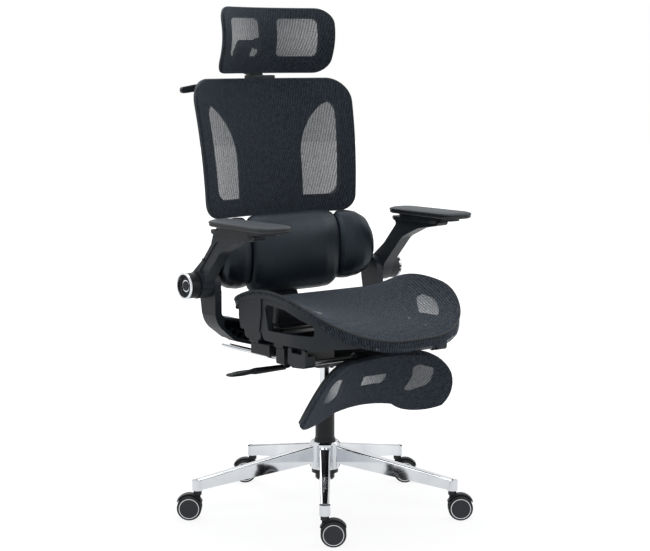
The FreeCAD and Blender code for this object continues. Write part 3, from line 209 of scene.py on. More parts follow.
def make_floor():
    """White floor: it holds the object's soft shadow and runs into the white background."""
    material = bpy.data.materials.new("floor_white")
    tree = empty_tree(material)
    plain = tree.nodes.new("ShaderNodeBsdfDiffuse")
    plain.inputs["Color"].default_value = FLOOR_COLOUR
    glow = tree.nodes.new("ShaderNodeEmission")
    glow.inputs["Color"].default_value = WHITE
    glow.inputs["Strength"].default_value = FLOOR_GLOW
    share = two_inputs(tree, "MULTIPLY", glow_share(tree), seen_as_white(tree))
    mix_to_output(tree, "ShaderNodeOutputMaterial", share, plain, glow)
    half = FLOOR_HALF
    corners = [(-half, -half, 0), (half, -half, 0), (half, half, 0), (-half, half, 0)]
    stage_mesh("floor", corners, [(0, 1, 2, 3)], material)


def make_dark_band():
    """Dark studio flag round the object: only polished metal sees it, so its edges read."""
    verts = []
    faces = []
    for k in range(BAND_STEPS):
        angle = 2 * math.pi * k / BAND_STEPS
        after = (k + 1) % BAND_STEPS
        for z in (BAND_LOW, BAND_HIGH):
            verts.append((BAND_RADIUS * math.cos(angle), BAND_RADIUS * math.sin(angle), z))
        if k % BAND_REPEAT < BAND_CLOSED:
            faces.append((2 * k, 2 * after, 2 * after + 1, 2 * k + 1))
    material = bpy.data.materials.new("flag_black")
    material.use_nodes = True
    shader = material.node_tree.nodes["Principled BSDF"]
    shader.inputs["Base Color"].default_value = (0.012, 0.013, 0.015, 1)
    shader.inputs["Roughness"].default_value = 0.9
    band = stage_mesh("dark_band", verts, faces, material)
    band.visible_camera = False
    band.visible_diffuse = False
    band.visible_transmission = False
    band.visible_shadow = False


# Materials

# Heights on each arm pad: the pressed seam round it, where its side ends and where its top begins;
# the painted shade on the side fades out between these last two.
ARM_SEAM = 0.7315
ARM_SIDE_END = 0.7352
ARM_TOP_START = 0.7394
# Distance between two yarns of the knit.
YARN_PITCH = 0.0017


class Look:
    """A Principled material whose colour, gloss and relief come from its own nodes."""

    def __init__(self, name):
        self.material = bpy.data.materials.new(name)
        self.material.use_nodes = True
        self.tree = self.material.node_tree
        self.shader = self.tree.nodes["Principled BSDF"]
        self.place = self.add("ShaderNodeTexCoord").outputs["Object"]
        self.normal = None

    def add(self, kind, **values):
        """A new node with these settings."""
        node = self.tree.nodes.new(kind)
        for key, value in values.items():
            setattr(node, key, value)
        return node

    def link(self, source, target):
        self.tree.links.new(source, target)

    def put(self, socket, value):
        """Set a value that is the same all over on the shader's own socket."""
        self.shader.inputs[socket].default_value = value

    def parts(self, source):
        """The X, Y and Z of a vector."""
        node = self.add("ShaderNodeSeparateXYZ")
        self.link(source, node.inputs[0])
        return node.outputs

    def noise(self, scale, detail=2.0, roughness=0.5, where=None):
        node = self.add("ShaderNodeTexNoise")
        node.inputs["Scale"].default_value = scale
        node.inputs["Detail"].default_value = detail
        node.inputs["Roughness"].default_value = roughness
        self.link(where or self.place, node.inputs["Vector"])
        return node.outputs["Fac"]

    def cells(self, scale, feature="F1"):
        node = self.add("ShaderNodeTexVoronoi", feature=feature)
        node.inputs["Scale"].default_value = scale
        self.link(self.place, node.inputs["Vector"])
        return node.outputs["Distance"]

    def ramp(self, source, low, high, start=0.3, end=0.7):
        """Colour that runs from low to high as the source goes from start to end."""
        node = self.add("ShaderNodeValToRGB")
        node.color_ramp.elements[0].position = start
        node.color_ramp.elements[1].position = end
        node.color_ramp.elements[0].color = (*low, 1)
        node.color_ramp.elements[1].color = (*high, 1)
        self.link(source, node.inputs["Fac"])
        return node.outputs["Color"]

    def between(self, source, low, high, start=0.3, end=0.7):
        """Number that runs from low to high as the source goes from start to end."""
        node = self.add("ShaderNodeMapRange")
        node.inputs["From Min"].default_value = start
        node.inputs["From Max"].default_value = end
        node.inputs["To Min"].default_value = low
        node.inputs["To Max"].default_value = high
        self.link(source, node.inputs["Value"])
        return node.outputs["Result"]

    def calc(self, operation, *values):
        """Output of a math node on numbers and sockets."""
        node = self.add("ShaderNodeMath", operation=operation)
        for socket, value in zip(node.inputs, values):
            if isinstance(value, (int, float)):
                socket.default_value = value
            else:
                self.link(value, socket)
        return node.outputs[0]

    def weighted(self, *pairs):
        """Sum of several sources, each times its weight."""
        total = self.calc("MULTIPLY", *pairs[0])
        for source, weight in pairs[1:]:
            total = self.calc("ADD", total, self.calc("MULTIPLY", source, weight))
        return total

    def wave(self, source, pitch):
        """Sine that crosses zero once every pitch."""
        return self.calc("SINE", self.calc("MULTIPLY", source, math.pi / pitch))

    def bump(self, source, distance, strength=1.0):
        """Lay one more relief over those before it."""
        node = self.add("ShaderNodeBump")
        node.inputs["Strength"].default_value = strength
        node.inputs["Distance"].default_value = distance
        self.link(source, node.inputs["Height"])
        if self.normal is not None:
            self.link(self.normal, node.inputs["Normal"])
        self.normal = node.outputs["Normal"]
        self.link(self.normal, self.shader.inputs["Normal"])

    def colour(self, source):
        self.link(source, self.shader.inputs["Base Color"])

    def roughness(self, source):
        self.link(source, self.shader.inputs["Roughness"])


def chrome_look():
    look = Look("polished_chrome")
    look.put("Metallic", 1.0)
    smear = look.noise(9.0, 3.0)
    look.colour(look.ramp(smear, (0.56, 0.58, 0.61), (0.70, 0.72, 0.74)))
    look.roughness(look.between(smear, 0.045, 0.10))
    look.bump(look.noise(35.0, 1.0), 0.0004, 0.05)
    return look.material


def plastic_look(name, low, high, roughness, grain=2200.0, relief=0.00012):
    """Moulded plastic with a fine spark grain; low and high are its darkest and lightest colour."""
    look = Look(name)
    broad = look.noise(14.0, 3.0)
    look.colour(look.ramp(broad, low, high))
    spark = look.noise(grain, 1.0)
    look.roughness(look.between(spark, roughness - 0.06, roughness + 0.08))
    look.bump(spark, relief, 0.5)
    look.put("Specular IOR Level", 0.34)
    return look.material


def powder_look():
    look = Look("black_powder_coat")
    orange_peel = look.noise(520.0, 1.0)
    look.colour(look.ramp(look.noise(20.0, 2.0), (0.006, 0.007, 0.008), (0.011, 0.012, 0.014)))
    look.roughness(look.between(orange_peel, 0.34, 0.48))
    look.bump(orange_peel, 0.00025, 0.35)
    look.put("Specular IOR Level", 0.28)
    return look.material


def steel_look():
    look = Look("turned_steel")
    look.put("Metallic", 1.0)
    lines = look.noise(900.0, 2.0)
    look.colour(look.ramp(lines, (0.45, 0.45, 0.47), (0.66, 0.66, 0.67)))
    look.roughness(look.between(lines, 0.22, 0.38))
    look.bump(lines, 0.0001, 0.2)
    return look.material


def leather_look():
    """Coated leather with fine pores, a faint wave and a bluish gloss."""
    look = Look("black_coated_leather")
    pores = look.cells(620.0, "DISTANCE_TO_EDGE")
    broad = look.noise(7.0, 2.0)
    look.colour(look.ramp(broad, (0.0024, 0.0046, 0.0078), (0.0046, 0.0082, 0.0135)))
    look.roughness(look.between(broad, 0.38, 0.50))
    look.bump(look.noise(46.0, 2.0), 0.0012, 0.10)
    look.bump(pores, 0.00035, 0.22)
    look.put("Specular Tint", (0.76, 0.90, 1.0, 1))
    look.put("Specular IOR Level", 0.46)
    return look.material


def pad_look():
    """Arm pad skin with painted shade: darker down its sides, and darkest in the seam that runs
    round them.
    """
    look = Look("grey_foam_skin")
    grain = look.cells(900.0)
    height = look.parts(look.place)["Z"]
    from_seam = look.calc("ABSOLUTE", look.calc("SUBTRACT", height, ARM_SEAM))
    # Painted shade: the colour darkens down the sides below the top, and most of all in the seam.
    painted_side_shade = look.between(height, 0.42, 1.0, ARM_SIDE_END, ARM_TOP_START)
    painted_seam_shade = look.between(from_seam, 0.15, 1.0, 0.0010, 0.0022)
    shade = look.add("ShaderNodeMixRGB", blend_type="MULTIPLY")
    shade.inputs["Fac"].default_value = 1.0
    top = look.ramp(look.noise(11.0, 2.0), (0.030, 0.037, 0.045), (0.043, 0.051, 0.061))
    look.link(top, shade.inputs["Color1"])
    look.link(look.calc("MULTIPLY", painted_side_shade, painted_seam_shade), shade.inputs["Color2"])
    look.colour(shade.outputs["Color"])
    look.roughness(look.between(grain, 0.50, 0.64, 0.0, 0.8))
    look.bump(grain, 0.0002, 0.3)
    return look.material


def stretch_drift(look, uv):
    """Wavy streaks of a stretched knit, a little off the direction of its yarns."""
    turn = look.add("ShaderNodeMapping")
    turn.inputs["Rotation"].default_value = (0, 0, math.radians(17))
    look.link(uv, turn.inputs["Vector"])
    drift = look.add("ShaderNodeTexWave")
    drift.inputs["Scale"].default_value = 46.0
    drift.inputs["Distortion"].default_value = 2.6
    drift.inputs["Detail"].default_value = 3.0
    drift.inputs["Detail Scale"].default_value = 2.2
    look.link(turn.outputs["Vector"], drift.inputs["Vector"])
    return drift.outputs["Fac"]


def mesh_look(name, dark, light, open_share, spread=0.14):
    """Open knit of light and dark yarns, see-through between them.

    open_share is how clear the gaps are. A small spread makes light and dark yarns stand out."""
    look = Look(name)
    uv = look.add("ShaderNodeUVMap", uv_map="weave").outputs["UV"]
    split = look.parts(uv)
    across = split["X"]
    along = split["Y"]
    checks = look.calc("MULTIPLY", look.wave(across, YARN_PITCH), look.wave(along, YARN_PITCH))
    gap = look.between(look.calc("ABSOLUTE", checks), 0.0, 1.0, 0.1, 0.9)
    rib = look.calc("ABSOLUTE", look.wave(across, YARN_PITCH * 2.0))
    drift = stretch_drift(look, uv)
    blot = look.noise(95.0, 4.0, 0.65, uv)
    fleck = look.noise(420.0, 3.0, 0.7, uv)
    yarn = look.weighted((fleck, 0.40), (blot, 0.45), (drift, 0.15))
    look.colour(look.ramp(yarn, dark, light, 0.5 - spread, 0.5 + spread))
    look.roughness(look.between(fleck, 0.74, 0.92))
    look.bump(rib, 0.0004, 0.35)
    look.bump(gap, -0.0005, 0.5)
    stretch = look.between(look.weighted((drift, 0.5), (blot, 0.5)), 0.84, 1.12)
    clear = look.calc("MULTIPLY", look.calc("MULTIPLY", gap, open_share), stretch)
    look.link(look.calc("SUBTRACT", 1.0, clear), look.shader.inputs["Alpha"])
    look.put("Sheen Weight", 0.2)
    look.put("Sheen Roughness", 0.5)
    look.put("Sheen Tint", (0.75, 0.85, 1.0, 1))
    look.put("Specular IOR Level", 0.2)
    return look.material


def welt_look():
    look = Look("welt_cord")
    twist = look.noise(1500.0, 2.0)
    look.colour(look.ramp(twist, (0.008, 0.009, 0.011), (0.020, 0.022, 0.027)))
    look.roughness(look.between(twist, 0.6, 0.8))
    look.bump(twist, 0.0003, 0.4)
    return look.material


def thread_look():
    look = Look("black_thread")
    ply = look.noise(2600.0, 1.0)
    look.colour(look.ramp(ply, (0.014, 0.016, 0.019), (0.030, 0.033, 0.038)))
    look.put("Roughness", 0.6)
    look.bump(ply, 0.0001, 0.5)
    return look.material


CHROME = chrome_look()
POWDER = powder_look()
STEEL = steel_look()
LEATHER = leather_look()
PAD = pad_look()
WELT = welt_look()
THREAD = thread_look()
MESH = mesh_look("charcoal_knit", (0.0125, 0.0165, 0.0225), (0.048, 0.060, 0.077), 0.92)
FOOT_MESH = mesh_look("footrest_knit", (0.018, 0.024, 0.032), (0.084, 0.101, 0.126), 0.96)
# The seat's knit is the back's knit with a lighter yarn colour and more contrast. The lighter colour
# is partly painted light, standing in for the light on its upward face.
SEAT_KNIT_PAINTED_LIGHTER = mesh_look("seat_knit_painted_lighter", (0.009, 0.013, 0.019), (0.070, 0.084, 0.104), 0.80, 0.07)
GREY = plastic_look("slate_plastic", (0.0075, 0.0110, 0.0155), (0.0115, 0.0160, 0.0220), 0.46)
GREY_LIGHT = plastic_look("arm_plastic", (0.018, 0.0225, 0.0275), (0.026, 0.0315, 0.0380), 0.42)
BLACK = plastic_look("black_plastic", (0.0065, 0.008, 0.0100), (0.0105, 0.0125, 0.0155), 0.48)
WHEEL = plastic_look("wheel_face", (0.022, 0.025, 0.029), (0.032, 0.035, 0.040), 0.50)
TYRE = plastic_look("tyre_rubber", (0.010, 0.010, 0.011), (0.016, 0.016, 0.018), 0.68, 1400.0,
                    0.0002)

# The CAD nodes that stay in sight, by material. The caster hoods and wheels are dressed by number.
FINISHES = (
    (CHROME, ("star_base", "gas_lift_stem", "footrest_rods", "footrest_crossbar", "arm_cap_rings")),
    (POWDER, ("gas_lift_tube", "mechanism_housing", "mounting_plate", "lever_rod", "retaining_clip",
              "back_pivot_pins")),
    (STEEL, ("recline_shaft",)),
    (BLACK, ("hub_collar", "lever_grip", "lever_bush", "tension_knob", "arm_caps", "rod_guides",
             "footrest_bracket", "lumbar_shell", "lumbar_bracket", "back_panel", "back_frame",
             "headrest_frame", "footrest_frame", "neck")),
    (GREY, ("cross_beams", "neck_bracket", "seat_frame", "cradle", "spine_column",
            "footrest_corners")),
    (GREY_LIGHT, ("coat_hanger", "arm_post_left", "arm_post_right", "arm_slide_plate_left",
                  "arm_slide_plate_right")),
)

# A wheel's bright trim ring and dished disc, by their distance from its axle and from its middle.
TRIM_INNER = 0.0225
TRIM_OUTER = 0.0251
TRIM_DEPTH = 0.0206
DISC_OUTER = 0.0232
DISC_DEPTH = 0.0175


def dress(node, *materials):
    """Give a CAD node these materials in place of its own."""
    mesh = nodes[node].data
    mesh.materials.clear()
    for material in materials:
        mesh.materials.append(material)
    return mesh


def dress_wheel(node, centre, axle):
    """Tyre on the rolling face, a bright ring and a dished disc on the outer face."""
    mesh = dress(node, TYRE, WHEEL, CHROME)
    for face in mesh.polygons:
        arm = face.center - centre
        offset = abs(arm.dot(axle))
        radius = (arm - axle * arm.dot(axle)).length
        if TRIM_INNER < radius < TRIM_OUTER and offset > TRIM_DEPTH:
            face.material_index = 2
        elif radius < DISC_OUTER and offset > DISC_DEPTH:
            face.material_index = 1
        else:
            face.material_index = 0


def dress_nodes():
    for material, names in FINISHES:
        for name in names:
            dress(name, material)
    joints = {joint["child"]: joint for joint in frame["record"]["behaviour"]["joints"]}
    for number in range(1, 6):
        dress("caster_hood_%d" % number, BLACK)
        for letter in "ab":
            joint = joints["wheel_%d%s" % (number, letter)]
            dress_wheel("caster_wheel_%d%s" % (number, letter), Vector(joint["pos_m"]),
                        Vector(joint["axis"]).normalized())


# Building pieces

UP = Vector((0, 0, 1))
FORWARD = Vector((0, -1, 0))
BACKWARD = Vector((0, 1, 0))
# The sitter's left is +X. Each side's name and its sign along X.
SIDES = (("left", 1), ("right", -1))


def new_piece(name, verts, faces, body, material, smooth=True):
    """A mesh of its own that rides on a body, its faces turned outward."""
    mesh = bpy.data.meshes.new(name)
    mesh.from_pydata([tuple(v) for v in verts], [], faces)
    mesh.materials.append(material)
    piece = bpy.data.objects.new(name, mesh)
    scene.collection.objects.link(piece)
    build = bmesh.new()
    build.from_mesh(mesh)
    bmesh.ops.recalc_face_normals(build, faces=build.faces)
    build.to_mesh(mesh)
    build.free()
    for face in mesh.polygons:
        face.use_smooth = smooth
    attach(piece, body)
    return piece


def apply_modifiers(piece):
    """Put the modifiers' result in place of the piece's mesh."""
    view = bpy.context.evaluated_depsgraph_get()
    done = bpy.data.meshes.new_from_object(piece.evaluated_get(view))
    piece.modifiers.clear()
    old = piece.data
    piece.data = done
    bpy.data.meshes.remove(old)
    for face in done.polygons:
        face.use_smooth = True


def thicken(piece, thickness, offset):
    """Give a surface its thickness: offset -1 grows it inward and 0 to both sides."""
    shell = piece.modifiers.new("thickness", "SOLIDIFY")
    shell.thickness = thickness
    shell.offset = offset
    apply_modifiers(piece)


def search_tree(thing):
    """Search tree that finds where a ray meets an object's mesh."""
    points = [vertex.co[:] for vertex in thing.data.vertices]
    faces = [face.vertices[:] for face in thing.data.polygons]
    return BVHTree.FromPolygons(points, faces)


def circle(centre, first, second, radius, count):
    """Points round a circle in the plane of two directions."""
    points = []
    for k in range(count):
        turn = 2 * math.pi * k / count
        x, y = radius * math.cos(turn), radius * math.sin(turn)
        points.append(centre + first * x + second * y)
    return points


def ring_faces(first, second):
    """Faces between two closed rings of point numbers."""
    count = len(first)
    faces = []
    for k in range(count):
        after = (k + 1) % count
        faces.append((first[k], first[after], second[after], second[k]))
    return faces


def grid_faces(wide, deep):
    """Faces between the neighbouring columns of a grid of points."""
    return [(i * deep + k, (i + 1) * deep + k, (i + 1) * deep + k + 1, i * deep + k + 1)
            for i in range(wide - 1) for k in range(deep - 1)]


# Mesh panels

# Steps that find where a face ends: probes along a column, then halvings of the last step.
PROBES = 60
HALVINGS = 14
# How far inside the face's ends its height is read, and how far off its plane the rays start.
END_INSET = 2e-5
RAY_START = 0.6
# The outermost columns stand this share of the way out, just inside the face's edge.
EDGE_SHARE = 0.9993

KNIT_THICKNESS = 0.0011
# How far the knit stands out past the CAD sheet's edge, and how far it lies below its face.
LIP = 0.0030
SINK = 0.0008
# The knit's turn round the edge: the share of the lip and the drop at each step. The last drop is
# the wrap.
TURN_STEPS = ((0.35, 0.0005), (0.75, 0.0018), (1.0, 0.0042), (1.0, None))


class Plane:
    """A sheet's own frame: u and v lie in its plane and h points out of its face."""

    def __init__(self, origin, u, v, h):
        self.origin = Vector(origin)
        self.u, self.v, self.h = Vector(u), Vector(v), Vector(h)

    def point(self, u, v, h):
        return self.origin + self.u * u + self.v * v + self.h * h

    def inside(self, point):
        away = point - self.origin
        return away.dot(self.u), away.dot(self.v)


class Face:
    """The outer face of a CAD sheet, read by rays along its plane's h."""

    def __init__(self, node, plane):
        self.tree = search_tree(nodes[node])
        self.plane = plane
        flat = [plane.inside(v.co) for v in nodes[node].data.vertices]
        self.reach = max(u for u, v in flat)
        self.low = min(v for u, v in flat)
        self.high = max(v for u, v in flat)

    def height(self, u, v):
        hit = self.tree.ray_cast(self.plane.point(u, v, RAY_START), -self.plane.h)[0]
        if hit is None:
            return None
        return (hit - self.plane.origin).dot(self.plane.h)

    def edge(self, u, inner, outer):
        """Place along v, between one on the face and one off it, where the face ends."""
        for _ in range(HALVINGS):
            middle = (inner + outer) / 2
            if self.height(u, middle) is None:
                outer = middle
            else:
                inner = middle
        return inner

    def column(self, u, count):
        """Points up the face at u, closer together near its two ends."""
        probes = [self.low + (self.high - self.low) * k / PROBES for k in range(PROBES + 1)]
        hits = [v for v in probes if self.height(u, v) is not None]
        if not hits:
            return None
        step = (self.high - self.low) / PROBES
        low = self.edge(u, hits[0], hits[0] - step)
        high = self.edge(u, hits[-1], hits[-1] + step)
        column = []
        for k in range(count + 1):
            v = (low + high) / 2 - (high - low) / 2 * math.cos(math.pi * k / count)
            read_at = min(max(v, low + END_INSET), high - END_INSET)
            column.append((u, v, self.height(u, read_at)))
        return column


def with_height(column):
    """The points of a column whose height is known."""
    return [point for point in column if point[2] is not None]


def face_grid(face, across, along):
    """Columns of (u, v, h) over a whole CAD face, from its left edge to its right edge."""
    columns = []
    for j in range(across + 1):
        u = -face.reach * math.cos(math.pi * j / across) * EDGE_SHARE
        column = face.column(u, along)
        if column:
            columns.append(column)
    # A point whose ray slips past the face takes the height of the nearest point that has one.
    for i, column in enumerate(columns):
        for k, (u, v, h) in enumerate(column):
            if h is None:
                known = with_height(column) or with_height(columns[i - 1])
                column[k] = (u, v, min(known, key=lambda c: abs(c[1] - v))[2])
    return columns


def border_of(columns):
    """Point numbers round the grid's four sides, in order."""
    wide, deep = len(columns), len(columns[0])
    ring = [(i, 0) for i in range(wide)]
    ring += [(wide - 1, k) for k in range(1, deep)]
    ring += [(i, deep - 1) for i in range(wide - 2, -1, -1)]
    ring += [(0, k) for k in range(deep - 2, 0, -1)]
    return [i * deep + k for i, k in ring]


def even_border(flat):
    """Outward direction at each point of a flat border, smoothed so that corners don't pinch."""
    count = len(flat)
    outward = []
    for k in range(count):
        run = flat[(k + 2) % count] - flat[k - 2]
        if run.length > 1e-7:
            outward.append(Vector((run.y, -run.x)).normalized())
        else:
            outward.append(Vector((0, -1)))
    for _ in range(3):
        sums = [outward[k - 1] + outward[k] * 2 + outward[(k + 1) % count] for k in range(count)]
        outward = [way.normalized() for way in sums]
    return outward


def stretched_sheet(name, node, body, plane, grid, material, wrap):
    """Knit stretched over a frame: a fine grid on the CAD sheet's face, wrapped round its edge.

    grid is its number of steps across and along. wrap(u, v) is how far the knit turns down over
    the frame there. Gives back the piece, the line of its outer edge and its flat area."""
    columns = face_grid(Face(node, plane), *grid)
    points = [point for column in columns for point in column]
    verts = [plane.point(u, v, h - SINK) for u, v, h in points]
    uvs = [(u, v) for u, v, h in points]
    faces = grid_faces(len(columns), len(columns[0]))
    loop = border_of(columns)
    flat = [Vector(uvs[index]) for index in loop]
    outward = even_border(flat)
    last = loop
    for share, drop in TURN_STEPS:
        ring = []
        for index, place, away in zip(loop, flat, outward):
            fall = wrap(*place) if drop is None else drop
            out = away * (LIP * share)
            ring.append(len(verts))
            verts.append(verts[index] + plane.u * out.x + plane.v * out.y - plane.h * fall)
            uvs.append(tuple(place + away * (LIP * share + fall)))
        faces += ring_faces(last, ring)
        last = ring
    piece = new_piece(name, verts, faces, body, material)
    layer = piece.data.uv_layers.new(name="weave")
    for corner in piece.data.loops:
        layer.data[corner.index].uv = uvs[corner.vertex_index]
    middle = piece.data.polygons[(len(columns) // 2) * (len(columns[0]) - 1) + len(columns[0]) // 2]
    if middle.normal.dot(plane.h) < 0:
        piece.data.flip_normals()
    area = sum(face.area for face in piece.data.polygons)
    thicken(piece, KNIT_THICKNESS, -1.0)
    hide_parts(node)
    edge = [verts[index] + (plane.u * away.x + plane.v * away.y) * LIP
            for index, away in zip(loop, outward)]
    return piece, edge, area


def even_path(points, step):
    """The same closed path with points an even step apart, smoothed twice."""
    count = len(points)
    spans = [(points[(k + 1) % count] - points[k]).length for k in range(count)]
    total = sum(spans)
    wanted = max(int(total / step), 8)
    path = []
    k = 0
    passed = 0.0
    for n in range(wanted):
        target = total * n / wanted
        while passed + spans[k] < target:
            passed += spans[k]
            k = (k + 1) % count
        share = (target - passed) / spans[k] if spans[k] else 0.0
        path.append(points[k].lerp(points[(k + 1) % count], share))
    for _ in range(2):
        path = [(path[k - 1] + path[k] * 2 + path[(k + 1) % wanted]) / 4 for k in range(wanted)]
    return path


def round_cord(name, path, radius, body, material, sides=8):
    """Closed cord of round section along a path of points."""
    count = len(path)
    verts = []
    for i, here in enumerate(path):
        run = (path[(i + 1) % count] - path[i - 1]).normalized()
        side = run.cross(UP)
        if side.length < 0.2:
            side = run.cross(BACKWARD)
        side.normalize()
        verts += circle(here, side, side.cross(run).normalized(), radius, sides)
    faces = []
    rings = [range(i * sides, (i + 1) * sides) for i in range(count)]
    for i in range(count):
        faces += ring_faces(rings[i], rings[(i + 1) % count])
    return new_piece(name, verts, faces, body, material)


FOOT_LEAN = math.radians(119.2)
FOOT_HINGE = (0, -0.228, 0.414)
SEAT_PLANE = Plane((0, 0, 0), (1, 0, 0), (0, 1, 0), (0, 0, 1))
UPRIGHT_PLANE = Plane((0, 0, 0), (1, 0, 0), (0, 0, 1), (0, -1, 0))
FOOT_PLANE = Plane(FOOT_HINGE, (1, 0, 0), (0, math.cos(FOOT_LEAN), math.sin(FOOT_LEAN)),
                   (0, -math.sin(FOOT_LEAN), math.cos(FOOT_LEAN)))

# How far each knit turns down over its frame.
SEAT_SIDE_WRAP = 0.010
BACK_WRAP = 0.011
HEADREST_WRAP = 0.010
FOOT_WRAP = 0.011
# How much more the seat's turns down at the front. It grows from this far forward, over this run.
SEAT_FRONT_WRAP = 0.019
SEAT_FRONT_START = 0.20
SEAT_FRONT_RUN = 0.10

WELT_STEP = 0.006
WELT_RADIUS = 0.0026
WELT_DROP = 0.0022


def seat_wrap(u, v):
    """The knit covers the whole band at the front of the seat and only its top at the sides."""
    forward = min(max((-v - SEAT_FRONT_START) / SEAT_FRONT_RUN, 0.0), 1.0)
    return SEAT_SIDE_WRAP + SEAT_FRONT_WRAP * forward * forward * (3 - 2 * forward)


def make_seat():
    piece, edge, area = stretched_sheet("seat_fabric", "seat_mesh", "chassis", SEAT_PLANE, (76, 64),
                                        SEAT_KNIT_PAINTED_LIGHTER, seat_wrap)
    path = even_path([point - SEAT_PLANE.h * WELT_DROP for point in edge], WELT_STEP)
    welt = round_cord("seat_welt", path, WELT_RADIUS, "chassis", WELT)


# Each of the pan's two windows is a piece of a ring round a centre at its own front corner.
PAN_CENTRE = (0.048, -0.155)
PAN_RADII = (0.080, 0.143)
PAN_TURN = (math.radians(-79), math.radians(-1))
# Points closer than this to a window's rim move onto it, within this much more turn at its ends.
PAN_REACH = 0.0015
PAN_TURN_REACH = 0.01
# The pan is a little smaller than the knit's face, a little further forward and lower.
PAN_SHARE_ACROSS = 0.992
PAN_SHARE_ALONG = 0.990
PAN_FORWARD = 0.001
PAN_DROP = 0.0050
PAN_THICKNESS = 0.0016


def pan_window(u, v):
    """Radius and angle of a place about the centre of the window on its side."""
    x, y = abs(u) - PAN_CENTRE[0], v - PAN_CENTRE[1]
    return math.hypot(x, y), math.atan2(y, x)


def in_pan_window(u, v):
    radius, turn = pan_window(u, v)
    return PAN_RADII[0] < radius < PAN_RADII[1] and PAN_TURN[0] < turn < PAN_TURN[1]


def onto_window_edge(u, v):
    """A point near the rim of a pan window moves onto it, so that the cut runs smooth."""
    radius, turn = pan_window(u, v)
    if PAN_TURN[0] - PAN_TURN_REACH < turn < PAN_TURN[1] + PAN_TURN_REACH:
        for rim in PAN_RADII:
            if abs(radius - rim) < PAN_REACH:
                u = math.copysign(PAN_CENTRE[0] + rim * math.cos(turn), u)
                v = PAN_CENTRE[1] + rim * math.sin(turn)
    return u, v


def make_seat_pan():
    """Thin moulded pan under the knit, open in a curved window at each front corner."""
    columns = face_grid(Face("seat_mesh", SEAT_PLANE), 168, 150)
    places = [(*onto_window_edge(u, v), h) for column in columns for u, v, h in column]
    verts = [SEAT_PLANE.point(u * PAN_SHARE_ACROSS, v * PAN_SHARE_ALONG - PAN_FORWARD, h - PAN_DROP)
             for u, v, h in places]
    faces = []
    for face in grid_faces(len(columns), len(columns[0])):
        u, v = [sum(places[index][axis] for index in face) / 4 for axis in (0, 1)]
        if not in_pan_window(u, v):
            faces.append(face)
    used = sorted({index for face in faces for index in face})
    order = {index: k for k, index in enumerate(used)}
    pan = new_piece("seat_pan", [verts[index] for index in used],
                    [tuple(order[index] for index in face) for face in faces], "chassis", BLACK)
    thicken(pan, PAN_THICKNESS, 0.0)


def make_back():
    piece, _, area = stretched_sheet("back_fabric", "back_mesh", "back", UPRIGHT_PLANE, (72, 56),
                                     MESH, lambda u, v: BACK_WRAP)


def make_headrest():
    piece, _, area = stretched_sheet("headrest_fabric", "headrest_mesh", "headrest", UPRIGHT_PLANE,
                                     (60, 36), MESH, lambda u, v: HEADREST_WRAP)


def make_footrest():
    piece, _, area = stretched_sheet("footrest_fabric", "footrest_mesh", "foot_pad", FOOT_PLANE,
                                     (76, 40), FOOT_MESH, lambda u, v: FOOT_WRAP)


# Padded pieces

# Distance from the middle to the lumbar cushion's two seams.
SEAM = 0.1385
# The stitches run down both sides of each seam, this far from it.
STITCH_OFFSET = 0.010
STITCH_HEIGHTS = [0.556 + 0.0055 * k for k in range(29)]
STITCH_HALF_LENGTH = 0.0016
STITCH_RADIUS = 0.00045
STITCH_SIDES = 6
STITCH_LIFT = 0.0001
# Rays that find the stitches' places start this far forward, in front of the cushion.
STITCH_RAY_START = -0.4

LUMBAR_VOXEL = 0.0032
LUMBAR_SMOOTHINGS = 4
LUMBAR_CROWN = 0.0014
LUMBAR_PUCKER = 0.0011
LUMBAR_WAVE = 0.0006
# How far from a seam the crown is nearly full and the puckers have faded.
CROWN_REACH = 0.02
PUCKER_REACH = 0.011
# How far the lumbar cushion's top stands above its CAD solid.
LUMBAR_RISE = 0.0080

ARM_PAD_VOXEL = 0.0017
ARM_PAD_SMOOTHINGS = 3
ARM_PAD_CROWN = 0.0005
ARM_SEAM_DEPTH = 0.0016
ARM_SEAM_WIDTH = 0.0020


def softened(name, node, body, material, voxel, turns, shape):
    """A padded piece on a CAD solid: an even skin with rounded edges, then its own relief.

    shape(place, normal) gives how far each point moves out along its normal."""
    mesh = nodes[node].data.copy()
    mesh.name = name
    mesh.materials.clear()
    mesh.materials.append(material)
    piece = bpy.data.objects.new(name, mesh)
    scene.collection.objects.link(piece)
    build = bmesh.new()
    build.from_mesh(mesh)
    bmesh.ops.remove_doubles(build, verts=build.verts, dist=1e-6)
    bmesh.ops.recalc_face_normals(build, faces=build.faces)
    build.to_mesh(mesh)
    build.free()
    skin = piece.modifiers.new("skin", "REMESH")
    skin.mode = "VOXEL"
    skin.voxel_size = voxel
    soft = piece.modifiers.new("soft", "SMOOTH")
    soft.factor = 0.5
    soft.iterations = turns
    apply_modifiers(piece)
    moved = [v.co + v.normal * shape(v.co.copy(), v.normal.copy()) for v in piece.data.vertices]
    for vertex, place in zip(piece.data.vertices, moved):
        vertex.co = place
    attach(piece, body)
    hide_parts(node)
    return piece


def cushion_relief(place, normal):
    """Crown on the front, puckers that fade away from the seams, a shallow wave and a fuller top."""
    front = max(-normal.y, 0.0)
    from_seam = abs(abs(place.x) - SEAM)
    crown = LUMBAR_CROWN * (1 - math.exp(-from_seam / CROWN_REACH))
    folds = noise.noise(Vector((place.x * 22, place.y * 40, place.z * 95)))
    pucker = LUMBAR_PUCKER * math.exp(-from_seam / PUCKER_REACH) * folds
    wave = LUMBAR_WAVE * noise.noise(place * 13.0)
    return front * (crown + pucker + wave) + LUMBAR_RISE * max(normal.z, 0.0) ** 2


